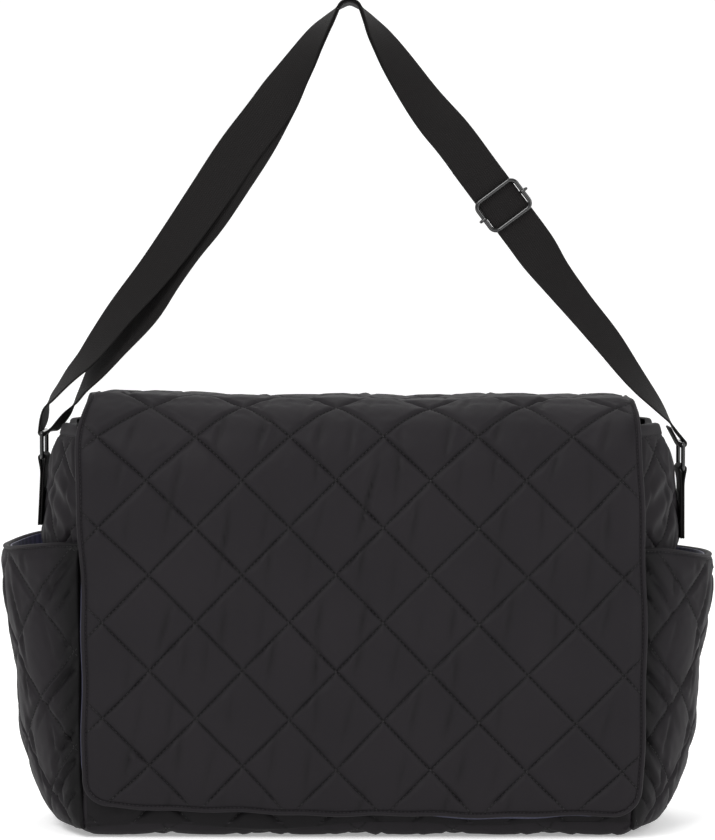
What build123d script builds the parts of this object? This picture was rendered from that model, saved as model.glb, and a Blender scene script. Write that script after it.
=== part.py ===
"""Quilted messenger changing bag with side pockets, a folding flap and an adjustable webbing shoulder strap.

Units are millimetres, +Z is up and the flap faces -Y. The origin is on the floor under the middle of the bag.
"""
import os
from math import cos, pi, radians, sin

from build123d import *

# Driving dimensions of the body
BODY_HALF_WIDTH = 188.0
FRONT_FACE_Y = -70.5
BACK_FACE_Y = 72.4
PANEL = 5.5             # quilted nylon, wadding and backing together
LINING = 1.0
GAP = 0.3               # between pieces that lie on each other
RIM_Z = 283.0           # top of the side gussets; front and back are lower, under the flap's bends
WALL_TOP_Z = 278.0      # top of the front and back panels
SEAM_Z = 6.3            # seam between the walls and the bottom panel
BOTTOM_BULGE = 214.0    # the bottom panel's bowed ends, at the middle

# Flap
FLAP_CENTRE_X = 2.0
FLAP_WIDTH = 385.0
FLAP_TOP_Z = 305.5
FLAP_FACE_Y = 79.5      # outer face, in front and behind
FLAP_BEND = 50.0        # outer radius over the front and rear top edges
FLAP_SKIN = 5.4
FLAP_HEM_Z = 22.0
FLAP_CORNER = 19.0
FLAP_REAR_SEAM_Z = 225.0
LIFT_Y = -20.0          # line on the top where the flap lifts
JOINT_SLIT = 0.15       # half of the slit between two halves of the flap
SNAP_RADIUS = 8.0
SNAP_Z = 60.0
SNAP_SPREAD = 110.0

# Webbing and wire fittings
WEB_WIDTH = 30.0
WEB = 1.3
PLY = 0.85              # half the pitch between two layers of webbing
WIRE = 3.0
RING_WIDTH = 36.6
RING_HEIGHT = 21.0
RING_LEFT = (-222.5, 269.5)     # centre, X and Z
RING_RIGHT = (229.5, 261.5)
# The arch folds about a line across the legs, 340 above the floor. Both sides narrow towards that line.
NECK_LENGTH = 19.0
NECK_GAP = 3.0
NECK_WIDTH = 4.6
SLIDER_CENTRE = (103.1, 438.5)
SLIDER_HEIGHT = 27.0
BAR_WIRE = 2.2
UNDER_STOP = 32.0       # from the slider's middle to the end of the strap's under layer

# Outer face of the gussets at the middle of the side: height, then distance from the bag's middle
GUSSET_LEFT = [(SEAM_Z, 199), (120, 207), (170, 213), (206, 223), (262, 216.3), (RIM_Z, 207)]
GUSSET_RIGHT = [(SEAM_Z, 199), (120, 207), (170, 215), (206, 227.5), (255, 223.5), (RIM_Z, 213)]
# Outer face of the side pockets, the same way
POCKET = [(SEAM_Z, 216), (24, 226), (42, 233), (70, 238.7), (112, 243.5), (143, 247), (168, 250),
          (197, 252.7)]
POCKET_CLOTH = 5.0

# Route of the strap, from the left ring over the top to the right ring: X, Z and the turn of the webbing's
# face from the strap's plane towards the front, in degrees.
LEG_LEFT_FRONT = [(-222.2, 284.5, 0), (-221.2, 290.0, 0), (-219.7, 296.5, 3), (-216.9, 300.7, 8),
                  (-211.2, 307.8, 12), (-202.6, 318.5, 20), (-192.6, 329.1, 28), (-184.4, 339.8, 35)]
LEG_LEFT_BACK = [(-215.0, 281.0, 0), (-211.5, 285.6, 3), (-206.3, 292.2, 5), (-203.1, 296.5, 7),
                 (-200.2, 300.7, 9), (-196.0, 307.8, 12), (-186.0, 322.0, 28), (-171.8, 339.8, 38)]
ARCH_LEFT_FRONT = [(-184.4, 339.8, 35), (-169.4, 360.3, 43), (-142.7, 392.9, 57), (-122.1, 421.2, 68),
                   (-105.1, 445.9, 78), (-83.8, 477.6, 90), (-59.7, 509.3, 84), (-46.2, 530.4, 54)]
ARCH_LEFT_BACK = [(-171.8, 339.8, 38), (-149.6, 366.6, 50), (-137.8, 387.2, 58), (-122.9, 409.6, 65),
                  (-107.8, 429.0, 72), (-90.0, 456.0, 82), (-70.9, 485.9, 90), (-57.5, 511.0, 82),
                  (-46.0, 530.8, 54)]
ARCH_TOP = [(-39.5, 541.0, 44), (-33.2, 551.5, 34), (-26.1, 562.0, 24), (-20.6, 568.8, 15), (-16.0, 574.6, 7),
            (-11.6, 579.4, 0), (-5.6, 581.7, 0), (0.4, 579.4, 0), (4.4, 574.6, 7), (8.4, 568.8, 15),
            (12.8, 562.0, 25), (19.8, 551.5, 36), (26.5, 541.0, 45), (33.5, 530.4, 52), (40.6, 519.9, 58),
            (48.2, 509.3, 66), (56.6, 498.8, 78)]
ARCH_SLIDE = [(66.0, 488.0, 90), (123.6, 411.2, 90)]
ARCH_RIGHT = [(136.0, 392.9, 64), (152.6, 371.7, 51), (178.4, 340.2, 43)]
LEG_RIGHT = [(178.4, 340.2, 43), (194.4, 318.5, 33), (203.0, 307.8, 26), (209.1, 300.7, 20),
             (215.9, 292.2, 12), (220.4, 286.0, 5), (224.9, 278.4, 0)]


def save(node, solid):
    export_step(solid, f"parts/{node}.step")


def slab(x_half, y_low, y_high, z_low, z_high, x_middle=0.0):
    """A block given by its faces."""
    block = Box(2 * x_half, y_high - y_low, z_high - z_low)
    return Pos(x_middle, (y_low + y_high) / 2, (z_low + z_high) / 2) * block


def prism(points, half_width, x_middle=0.0):
    """A closed outline in Y and Z, drawn out along X."""
    face = Plane.YZ * make_face(Polyline(*points, close=True))
    return Pos(x_middle, 0, 0) * extrude(face, half_width, both=True)


def tunnel(y_half, top_z, bend, width):
    """A block with rounded top edges that run along X."""
    block = slab(width / 2, -y_half, y_half, 0, top_z, FLAP_CENTRE_X)
    return fillet(block.edges().filter_by(Axis.X).group_by(Axis.Z)[-1], bend)


def crescent(z, bulge, edge, front_y, back_y):
    """Plan of a bulging side at one height, closed along the bag's middle."""
    mid_y = (front_y + back_y) / 2
    outline = [Line((0, back_y, z), (0, front_y, z)), Line((0, front_y, z), (edge, front_y, z)),
               ThreePointArc((edge, front_y, z), (bulge, mid_y, z), (edge, back_y, z)),
               Line((edge, back_y, z), (0, back_y, z))]
    return make_face(outline)


def bowed_plan(z, edge, bulge, front_y, back_y):
    """Plan with straight front and back and both ends bowed outwards."""
    mid_y = (front_y + back_y) / 2
    outline = [Line((-edge, front_y, z), (edge, front_y, z)),
               ThreePointArc((edge, front_y, z), (bulge, mid_y, z), (edge, back_y, z)),
               Line((edge, back_y, z), (-edge, back_y, z)),
               ThreePointArc((-edge, back_y, z), (-bulge, mid_y, z), (-edge, front_y, z))]
    return make_face(outline)


def bulging_wall(profile, edge, thickness, side, inset=0.0, trim=0.0):
    """The side wall between two lofts. side is 1 on the right and -1 on the left."""
    def body(shrink):
        rows = [crescent(z, bulge - shrink, edge - shrink, FRONT_FACE_Y + trim, BACK_FACE_Y - trim)
                for z, bulge in profile]
        return loft(rows, ruled=True)
    wall = body(inset) - body(inset + thickness)
    # what is left of the wall beside the flat front and back panels is cut off
    wall = wall & slab(200, FRONT_FACE_Y, BACK_FACE_Y, 0, 400, edge - thickness - 2 + 200)
    return wall if side > 0 else mirror(wall, about=Plane.YZ)


def band(points, thickness, half_width):
    """A strip of constant thickness along points in X and Z, drawn out along Y."""
    line = Polyline(*points)
    count = len(points)
    sides = []
    for sign in (1, -1):
        row = []
        for i in range(count):
            before = Vector(*points[i]) - Vector(*points[i - 1]) if i > 0 else None
            after = Vector(*points[i + 1]) - Vector(*points[i]) if i < count - 1 else None
            runs = [v.normalized() for v in (before, after) if v is not None]
            ahead = sum(runs[1:], runs[0]).normalized()
            across = Vector(-ahead.Y, ahead.X) * (sign * thickness / 2 / ahead.dot(runs[0]))
            row.append(Vector(*points[i]) + across)
        sides.append(row)
    face = make_face(Polyline(*sides[0], *reversed(sides[1]), close=True))
    return extrude(Plane.XZ * face, half_width, both=True)


def turn(centre, radius, start, end, steps=8):
    """Points on an arc in X and Z; angles in degrees from +X towards +Z."""
    angles = [radians(start + (end - start) * i / steps) for i in range(steps + 1)]
    return [(centre[0] + radius * cos(a), centre[1] + radius * sin(a)) for a in angles]


def closed_wire(points, diameter, corner):
    """A bent wire frame."""
    path = FilletPolyline(*points, radius=corner, close=True)
    section = Plane(origin=path @ 0, z_dir=path % 0) * Circle(diameter / 2)
    return sweep(section, path=path)


def webbing(route, layer, neck_start=False, neck_end=False):
    """Webbing along a route. layer is 1 for the outer layer and -1 for the layer under it.
    A necked end narrows towards the fold line, so that two stretches clear each other as the arch folds."""
    points = [Vector(x, 0, z) for x, z, _ in route]
    stations = []
    for i in range(len(route)):
        along = (points[min(i + 1, len(points) - 1)] - points[max(i - 1, 0)]).normalized()
        stations.append((points[i], along, route[i][2], WEB_WIDTH))
    for necked, end, beside in ((neck_start, 0, 1), (neck_end, -1, -2)):
        if not necked:
            continue
        run = points[beside] - points[end]
        along = stations[end][1]
        first_turn = route[end][2]
        share = min(NECK_LENGTH / run.length, 0.9)
        narrow = (points[end] + run.normalized() * NECK_GAP, along, first_turn, NECK_WIDTH)
        wide_turn = first_turn + share * (route[beside][2] - first_turn)
        wide = (points[end] + run * share, along, wide_turn, WEB_WIDTH)
        stations[end:end + 1 or None] = [narrow, wide] if end == 0 else [wide, narrow]
    faces = []
    for centre, along, face_turn, width in stations:
        outward = Vector(-along.Z, 0, along.X)
        a = radians(face_turn)
        normal = outward * cos(a) + Vector(0, -1, 0) * sin(a)
        across = normal.cross(along)
        plane = Plane(origin=centre + normal * (layer * PLY), x_dir=across, z_dir=along)
        faces.append(plane * Rectangle(width, WEB))
    return loft(faces, ruled=True)


def in_slider_frame(solid):
    """Places a solid drawn with X across the webbing, Y towards the back and Z up along the strap."""
    up = Vector(-0.6, 0, 0.8)
    across = Vector(0.8, 0, 0.6)
    place = Plane(origin=(SLIDER_CENTRE[0], 0, SLIDER_CENTRE[1]), x_dir=across, z_dir=up)
    return place.location * solid


os.makedirs("parts", exist_ok=True)

# ---- Body panels -------------------------------------------------------------------------------
FLAP_INNER = FLAP_SKIN + 0.2            # from the flap's outer face to its lining
flap_depth = FLAP_INNER + LINING + 0.5  # and on to the panels under it
inside_flap = tunnel(FLAP_FACE_Y - flap_depth, FLAP_TOP_Z - flap_depth, FLAP_BEND - flap_depth, 700)
PANEL_EDGE = BODY_HALF_WIDTH - PANEL - GAP
front_panel = slab(PANEL_EDGE, FRONT_FACE_Y, FRONT_FACE_Y + PANEL, SEAM_Z, WALL_TOP_Z)
save("front_panel", front_panel & inside_flap)
back_panel = slab(PANEL_EDGE, BACK_FACE_Y - PANEL, BACK_FACE_Y, SEAM_Z, WALL_TOP_Z)
save("back_panel", back_panel & inside_flap)
bottom_plan = bowed_plan(0, BODY_HALF_WIDTH, BOTTOM_BULGE, FRONT_FACE_Y, BACK_FACE_Y)
bottom_panel = extrude(bottom_plan, SEAM_Z - GAP, dir=(0, 0, 1))
bottom_panel = fillet(bottom_panel.edges().group_by(Axis.Z)[0], 5)
save("bottom_panel", bottom_panel)
base_board = slab(BODY_HALF_WIDTH - 12, FRONT_FACE_Y + 10, BACK_FACE_Y - 10, SEAM_Z + 0.3, SEAM_Z + 3.3)
save("base_board", base_board)

POCKET_EDGE = BODY_HALF_WIDTH + 4
for name, profile, side in (("left", GUSSET_LEFT, -1), ("right", GUSSET_RIGHT, 1)):
    gusset = bulging_wall(profile, BODY_HALF_WIDTH, PANEL, side)
    save(f"gusset_{name}", gusset & inside_flap)
    pocket = bulging_wall(POCKET, POCKET_EDGE, POCKET_CLOTH, side)
    hidden = loft([crescent(z, b + GAP, BODY_HALF_WIDTH + GAP, FRONT_FACE_Y - 1, BACK_FACE_Y + 1)
                   for z, b in profile], ruled=True)
    hidden = hidden if side > 0 else mirror(hidden, about=Plane.YZ)
    save(f"pocket_{name}", pocket - hidden)
    pocket_lining = bulging_wall(POCKET, POCKET_EDGE, LINING, side, inset=POCKET_CLOTH + GAP)
    save(f"pocket_lining_{name}", pocket_lining - hidden)

# ---- Lining bag: straight walls with bowed ends, open at the top -------------------------------
def lining_plan(z, shrink):
    return bowed_plan(z, BODY_HALF_WIDTH - PANEL - 2.0 - shrink, 192.0 - shrink,
                      FRONT_FACE_Y + PANEL + GAP + shrink, BACK_FACE_Y - PANEL - GAP - shrink)


FACING_Z = 245.0        # the nylon facing starts here, above the printed lining
LINING_FLOOR_Z = SEAM_Z + 3.6
lining = extrude(lining_plan(LINING_FLOOR_Z, 0), FACING_Z - LINING_FLOOR_Z, dir=(0, 0, 1))
lining -= extrude(lining_plan(LINING_FLOOR_Z + LINING, LINING), FACING_Z, dir=(0, 0, 1))
save("lining", lining)
facing = extrude(lining_plan(FACING_Z + 0.2, 0), RIM_Z - 2 - FACING_Z, dir=(0, 0, 1))
facing -= extrude(lining_plan(FACING_Z, LINING), 100, dir=(0, 0, 1))
save("mouth_facing", facing & inside_flap)

# ---- Flap: the rear stays on the bag, the top lifts and the front folds ------------------------
flap_skin = tunnel(FLAP_FACE_Y, FLAP_TOP_Z, FLAP_BEND, FLAP_WIDTH)
flap_skin -= tunnel(FLAP_FACE_Y - FLAP_SKIN, FLAP_TOP_Z - FLAP_SKIN, FLAP_BEND - FLAP_SKIN, 500)
inner = FLAP_INNER
flap_lining = tunnel(FLAP_FACE_Y - inner, FLAP_TOP_Z - inner, FLAP_BEND - inner, FLAP_WIDTH - 4)
inner += LINING
flap_lining -= tunnel(FLAP_FACE_Y - inner, FLAP_TOP_Z - inner, FLAP_BEND - inner, 500)
bend_y = FLAP_BEND - FLAP_FACE_Y
bend_z = FLAP_TOP_Z - FLAP_BEND
reach = 100.0
rear_part = slab(250, LIFT_Y + JOINT_SLIT, 100, FLAP_REAR_SEAM_Z, 400)
top_part = prism([(bend_y + JOINT_SLIT, bend_z), (LIFT_Y - JOINT_SLIT, bend_z),
                  (LIFT_Y - JOINT_SLIT, bend_z + reach), (bend_y + JOINT_SLIT - reach, bend_z + reach)], 250)
front_part = prism([(bend_y - JOINT_SLIT, bend_z), (bend_y - JOINT_SLIT - reach, bend_z + reach),
                    (-200, bend_z + reach), (-200, FLAP_HEM_Z), (bend_y - JOINT_SLIT, FLAP_HEM_Z)], 250)
for name, part in (("rear", rear_part), ("top", top_part), ("front", front_part)):
    skin = flap_skin & part
    backing = flap_lining & part
    if name == "front":
        skin = fillet(skin.edges().filter_by(Axis.Y).group_by(Axis.Z)[0], FLAP_CORNER)
        backing = fillet(backing.edges().filter_by(Axis.Y).group_by(Axis.Z)[0], FLAP_CORNER)
    save(f"flap_{name}", skin)
    save(f"flap_{name}_lining", backing)

# Magnetic snaps between the flap's lining and the front panel
for name, side in (("left", -1), ("right", 1)):
    x = FLAP_CENTRE_X + side * SNAP_SPREAD
    socket = Pos(x, FRONT_FACE_Y - 0.6, SNAP_Z) * Rot(90, 0, 0) * Cylinder(SNAP_RADIUS, 1.2)
    save(f"snap_socket_{name}", socket)
    lining_y = -(FLAP_FACE_Y - inner)
    stud = Pos(x, lining_y + 0.4, SNAP_Z) * Rot(90, 0, 0) * Cylinder(SNAP_RADIUS - 1, 0.8)
    save(f"snap_stud_{name}", stud)

# ---- Tabs and rings ----------------------------------------------------------------------------
HOLD = WIRE / 2 + 0.3 + WEB / 2         # radius of webbing folded round a ring's wire, at its middle
BAR_DROP = RING_HEIGHT / 2 - WIRE / 2   # from a ring's middle to its bars


def ring(centre):
    a = RING_WIDTH / 2 - WIRE / 2
    x, z = centre
    corners = [(x, -a, z - BAR_DROP), (x, a, z - BAR_DROP), (x, a, z + BAR_DROP), (x, -a, z + BAR_DROP)]
    return closed_wire(corners, WIRE, 1.8)


def tab(centre, foot_x, foot_z, side):
    """Webbing sewn up the gusset, folded over the ring's lower bar and sewn down on itself."""
    bar = (centre[0], centre[1] - BAR_DROP)
    inner_leg = (foot_x * side, foot_z)
    outer_leg = ((foot_x + WEB + 0.3) * side, foot_z)
    over = turn(bar, HOLD, 180, 0) if side > 0 else turn(bar, HOLD, 0, 180)
    return band([inner_leg, *over, outer_leg], WEB, WEB_WIDTH / 2)


save("tab_left", tab(RING_LEFT, 223.7, 213.0, -1))
save("tab_right", tab(RING_RIGHT, 228.9, 203.4, 1))
save("ring_left", ring(RING_LEFT))
save("ring_right", ring(RING_RIGHT))


def strap_end(centre, lean, short, long):
    """Webbing folded round the ring's upper bar. lean tips the fold over, in degrees towards +X."""
    bar = (centre[0], centre[1] + BAR_DROP)
    around = turn(bar, HOLD, 180 - lean, 360 - lean)
    up = (sin(radians(lean)), cos(radians(lean)))
    first = (around[0][0] + up[0] * short, around[0][1] + up[1] * short)
    last = (around[-1][0] + up[0] * long, around[-1][1] + up[1] * long)
    return band([first, *around, last], WEB, WEB_WIDTH / 2)


save("strap_end_left", strap_end(RING_LEFT, 12, 3.2, 1.5))
save("strap_end_right", strap_end(RING_RIGHT, -28, 14.0, 3.0))

# ---- Strap -------------------------------------------------------------------------------------
save("strap_leg_left_front", webbing(LEG_LEFT_FRONT, 1, neck_end=True))
save("strap_leg_left_back", webbing(LEG_LEFT_BACK, -1, neck_end=True))
save("strap_leg_right", webbing(LEG_RIGHT, 1, neck_start=True))
arch_front = ARCH_LEFT_FRONT + ARCH_TOP + ARCH_SLIDE + ARCH_RIGHT
save("strap_arch_front", webbing(arch_front, 1, neck_start=True, neck_end=True))
# the under layer stops above the slider, where the webbing sewn round the bar takes over
under_end = (SLIDER_CENTRE[0] - 0.6 * UNDER_STOP, SLIDER_CENTRE[1] + 0.8 * UNDER_STOP, 90)
arch_back = ARCH_LEFT_BACK + ARCH_TOP + [ARCH_SLIDE[0], under_end]
save("strap_arch_back", webbing(arch_back, -1, neck_start=True))

# ---- Slider: a wire frame in front of the webbing, and a loose bar behind it -------------------
frame_y = -PLY - WEB / 2 - 0.3 - WIRE / 2
bar_y = PLY + WEB / 2 + 0.1 + BAR_WIRE / 2
a, b = RING_WIDTH / 2 - WIRE / 2, SLIDER_HEIGHT / 2 - WIRE / 2
frame_points = [(-a, frame_y, -b), (a, frame_y, -b), (a, frame_y, b), (-a, frame_y, b)]
save("slider_frame", in_slider_frame(closed_wire(frame_points, WIRE, 5.0)))
cheek = a + WIRE / 2 + 0.35 + BAR_WIRE / 2
tip_y = frame_y - WIRE / 2 - 0.35 - BAR_WIRE / 2
hook = FilletPolyline((-a + 1.0, tip_y, 0), (-cheek, tip_y, 0), (-cheek, bar_y, 0), (cheek, bar_y, 0),
                      (cheek, tip_y, 0), (a - 1.0, tip_y, 0), radius=1.6)
section = Plane(origin=hook @ 0, z_dir=hook % 0) * Circle(BAR_WIRE / 2)
save("slider_bar", in_slider_frame(sweep(section, path=hook)))
wrap = BAR_WIRE / 2 + 0.1 + WEB / 2
tongue_y = PLY + WEB / 2 + GAP + WEB / 2
under = turn((bar_y, 0), wrap, 180, 360)
loop_line = [(under[0][0], 6.0), *under, (tongue_y, 22.0), (tongue_y, 40.0)]
loop = Rot(0, 0, 90) * band(loop_line, WEB, WEB_WIDTH / 2)
save("strap_bar_loop", in_slider_frame(loop))
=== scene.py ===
"""Looks of a quilted changing bag: nylon panels, linings, webbing, stitches and fittings around the frame."""

from math import cos, pi, radians, sin

import bmesh
import bpy
import numpy as np
from bpy.props import FloatProperty, FloatVectorProperty, IntProperty, PointerProperty
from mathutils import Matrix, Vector


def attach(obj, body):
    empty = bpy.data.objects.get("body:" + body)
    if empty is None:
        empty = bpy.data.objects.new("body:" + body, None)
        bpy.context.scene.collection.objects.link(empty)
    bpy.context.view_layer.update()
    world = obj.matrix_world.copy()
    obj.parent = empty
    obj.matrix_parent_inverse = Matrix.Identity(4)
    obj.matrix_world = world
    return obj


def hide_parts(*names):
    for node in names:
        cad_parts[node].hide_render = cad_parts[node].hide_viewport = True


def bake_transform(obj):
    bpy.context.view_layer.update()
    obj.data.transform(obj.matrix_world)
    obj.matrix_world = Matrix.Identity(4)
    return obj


bl_info = {
    "name": "Quilted changing bag",
    "version": (1, 0, 0),
    "blender": (4, 5, 0),
    "location": "View3D > Sidebar > Bag",
    "description": "Builds the looks of a quilted changing bag piece by piece",
    "category": "Object",
}

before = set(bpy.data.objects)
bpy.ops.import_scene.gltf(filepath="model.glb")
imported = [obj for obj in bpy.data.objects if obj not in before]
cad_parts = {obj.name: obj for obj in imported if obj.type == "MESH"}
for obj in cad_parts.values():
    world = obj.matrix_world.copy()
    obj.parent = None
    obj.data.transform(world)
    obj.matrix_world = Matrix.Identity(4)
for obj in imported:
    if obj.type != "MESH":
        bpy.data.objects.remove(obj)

MM = 0.001
DIAMOND_X, DIAMOND_Z = 64.6, 65.0       # full diagonals of one quilted diamond
CELLS = 32                              # mesh cells along a diamond's diagonal
STEP_X, STEP_Z = DIAMOND_X / CELLS, DIAMOND_Z / CELLS
SPACING = DIAMOND_X * DIAMOND_Z / np.hypot(DIAMOND_X, DIAMOND_Z)    # between parallel stitch lines

# The body in the CAD frame, in mm: +Z up, -Y to the front
FRONT_Y, BACK_Y = -70.5, 72.4
MID_Y = (FRONT_Y + BACK_Y) / 2
HALF_WIDTH = 188.0
SEAM_Z, WALL_TOP = 6.3, 266.0
FLAP_X = 2.0
FLAP_HALF = 192.5
FLAP_FACE = 79.5
FLAP_BEND = 50.0
FLAP_TOP = 305.5
FLAP_HEM = 22.0
FLAP_CORNER = 19.0
FLAP_REAR_SEAM = 225.0
FLAP_CUT_ANGLE = 9.8                    # where the two covers of the flap meet, just past the lift line
PANEL = 5.4
GUSSETS = {
    -1: [(6.3, 199), (60, 203), (120, 207), (170, 213), (206, 223), (235, 220), (262, 216.3), (283, 207)],
    1: [(6.3, 199), (60, 203), (120, 207), (170, 215), (206, 227.5), (235, 225), (255, 223.5), (283, 213)],
}
POCKET = [(6.3, 216), (24, 226), (42, 233), (70, 238.7), (112, 243.5), (143, 247), (168, 250), (197, 252.7)]
RINGS = {-1: (-222.5, 269.5), 1: (229.5, 261.5)}
BAR_DROP = 9.0
HOLD = 2.45
WEB_WIDTH, WEB, PLY = 30.0, 1.3, 0.85
SLIDER = (103.1, 438.5)
BAR_RADIUS = 1.1

# Route of the webbing: X, Z and the turn of its face towards the front in degrees
LEG_LEFT_FRONT = [(-222.2, 284.5, -5), (-221.2, 290.0, -5), (-219.7, 296.5, 1), (-216.9, 300.7, 8),
                  (-211.2, 307.8, 12), (-202.6, 318.5, 20), (-192.6, 329.1, 28), (-184.4, 339.8, 35)]
LEG_LEFT_BACK = [(-215.0, 281.0, -7), (-211.5, 285.6, -7), (-206.3, 292.2, -5), (-203.1, 296.5, 1),
                 (-200.2, 300.7, 7), (-196.0, 307.8, 12), (-186.0, 322.0, 28), (-171.8, 339.8, 38)]
ARCH_LEFT_FRONT = [(-169.4, 360.3, 43), (-142.7, 392.9, 57), (-122.1, 421.2, 68), (-105.1, 445.9, 78),
                   (-83.8, 477.6, 90), (-59.7, 509.3, 84), (-46.2, 530.4, 54)]
ARCH_LEFT_BACK = [(-149.6, 366.6, 50), (-137.8, 387.2, 58), (-122.9, 409.6, 65), (-107.8, 429.0, 72),
                  (-90.0, 456.0, 82), (-70.9, 485.9, 90), (-57.5, 511.0, 82), (-46.0, 530.8, 54)]
ARCH_TOP = [(-39.5, 541.0, 44), (-33.2, 551.5, 34), (-26.1, 562.0, 24), (-20.6, 568.8, 15), (-16.0, 574.6, 7),
            (-11.6, 579.4, 0), (-5.6, 581.7, 0), (0.4, 579.4, 0), (4.4, 574.6, 7), (8.4, 568.8, 15),
            (12.8, 562.0, 25), (19.8, 551.5, 36), (26.5, 541.0, 45), (33.5, 530.4, 52), (40.6, 519.9, 58),
            (48.2, 509.3, 66), (56.6, 498.8, 78)]
ARCH_SLIDE = [(66.0, 488.0, 90), (86.0, 461.3, 90)]
ARCH_END = [(66.0, 488.0, 90), (83.9, 464.1, 90)]
ARCH_RIGHT = [(86.0, 461.3, 90), (106.0, 434.7, 90), (123.6, 411.2, 90), (136.0, 392.9, 64),
              (152.6, 371.7, 51)]
LEG_RIGHT = [(178.4, 340.2, 43), (194.4, 318.5, 33), (203.0, 307.8, 26), (209.1, 300.7, 20),
             (215.9, 292.2, 12), (220.4, 286.0, 5), (224.9, 278.4, 0)]


# ---- Numbers and fields ------------------------------------------------------------------------
def smooth(x, low, high):
    """0 below low, 1 above high, and an even rise between."""
    t = np.clip((np.asarray(x, float) - low) / (high - low), 0, 1)
    return t * t * (3 - 2 * t)


def ripple(u, v, size, seed):
    """A soft uneven field between about -1 and 1, with lumps of about that size in mm."""
    rng = np.random.default_rng(seed)
    total = np.zeros(np.broadcast(u, v).shape)
    for _ in range(7):
        a, phase, scale = rng.uniform(0, 2 * pi), rng.uniform(0, 2 * pi), rng.uniform(0.7, 1.6)
        total = total + np.sin((u * np.cos(a) + v * np.sin(a)) * 2 * pi * scale / (2 * size) + phase)
    return total / 3.2


def line_counts(u, v):
    """Quilting lines crossed on the way from a crossing at u = v = 0: falling ones, then rising ones."""
    return u / DIAMOND_X + v / DIAMOND_Z, u / DIAMOND_X - v / DIAMOND_Z


def seam_distance(u, v):
    """Distance from the nearest quilting line; a crossing is at u = v = 0."""
    p, q = line_counts(u, v)
    return SPACING * np.minimum(abs(p - np.round(p)), abs(q - np.round(q)))


def drag_creases(u, v, seed=3):
    """Short steep creases either side of each diamond's middle, leaning to the right at the top."""
    total = np.zeros(np.shape(u))
    rng = np.random.default_rng(seed)
    low_u, high_u, low_v, high_v = u.min() - 30, u.max() + 30, v.min() - 30, v.max() + 30
    diamonds = range(-14, 15)
    for k in diamonds:
        for j in diamonds:
            middle = ((k + 0.5 * (j % 2)) * DIAMOND_X, (j + 1) * DIAMOND_Z / 2)
            for side in (-1, 1):
                chance, off, rise, long, depth, lean = rng.uniform(0, 1, 6)
                at_u, at_v = middle[0] + side * (7 + 12 * off), middle[1] - 3 + 14 * rise
                if chance > 0.72 or not (low_u < at_u < high_u and low_v < at_v < high_v):
                    continue
                dv = v - at_v
                du = u - at_u - (0.08 + 0.22 * lean) * dv
                fade = np.exp(-((dv / (9 + 9 * long)) ** 2))
                deep = 0.6 + 0.9 * depth
                ridge = 0.7 * np.exp(-(((du - side * 4.2) / 2.8) ** 2))
                total += fade * deep * (ridge - np.exp(-((du / 2.2) ** 2)))
    return total


class Field:
    """Heights of the filled quilt over its backing, on a grid that starts at (u0, v0)."""

    def __init__(self, u0, v0, step_u, step_v, heights):
        self.u0, self.v0, self.step_u, self.step_v, self.heights = u0, v0, step_u, step_v, heights

    def at(self, u, v):
        """Heights at (u, v), by cubic interpolation; the sheet repeats beyond its edges."""
        rows, columns = self.heights.shape
        fu, fv = (u - self.u0) / self.step_u, (v - self.v0) / self.step_v
        iu, iv = np.floor(fu).astype(int), np.floor(fv).astype(int)
        tu, tv = fu - iu, fv - iv

        def weights(t):
            return (-t + 2 * t**2 - t**3) / 2, (2 - 5 * t**2 + 3 * t**3) / 2, \
                   (t + 4 * t**2 - 3 * t**3) / 2, (t**3 - t**2) / 2
        total = 0
        for j, wv in enumerate(weights(tv)):
            for i, wu in enumerate(weights(tu)):
                total = total + self.heights[(iv + j - 1) % rows, (iu + i - 1) % columns] * wu * wv
        return total


# ---- Meshes ------------------------------------------------------------------------------------
def new_object(name, points, faces, uv=None, shares=None, material=None, sharp_angle=50):
    """A mesh from points in mm, with UV in mm and named shares, such as the painted shade of the creases,
    kept as attributes.
    """
    mesh = bpy.data.meshes.new(name)
    mesh.from_pydata((np.asarray(points) * MM).tolist(), [], faces)
    mesh.update()
    if uv is not None:
        layer = mesh.uv_layers.new(name="cloth_mm")
        corners = np.zeros(len(mesh.loops), int)
        mesh.loops.foreach_get("vertex_index", corners)
        layer.data.foreach_set("uv", np.asarray(uv, np.float32)[corners].ravel())
    for label, share in (shares or {}).items():
        attribute = mesh.attributes.new(label, "FLOAT", "POINT")
        attribute.data.foreach_set("value", np.asarray(share, np.float32))
    obj = bpy.data.objects.new(name, mesh)
    bpy.context.scene.collection.objects.link(obj)
    tidy = bmesh.new()
    tidy.from_mesh(mesh)
    bmesh.ops.remove_doubles(tidy, verts=tidy.verts, dist=2e-6)
    bmesh.ops.recalc_face_normals(tidy, faces=tidy.faces)
    tidy.to_mesh(mesh)
    tidy.free()
    mesh.shade_smooth()
    mesh.set_sharp_from_angle(angle=radians(sharp_angle))
    if material is not None:
        mesh.materials.append(material)
    return obj


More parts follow.
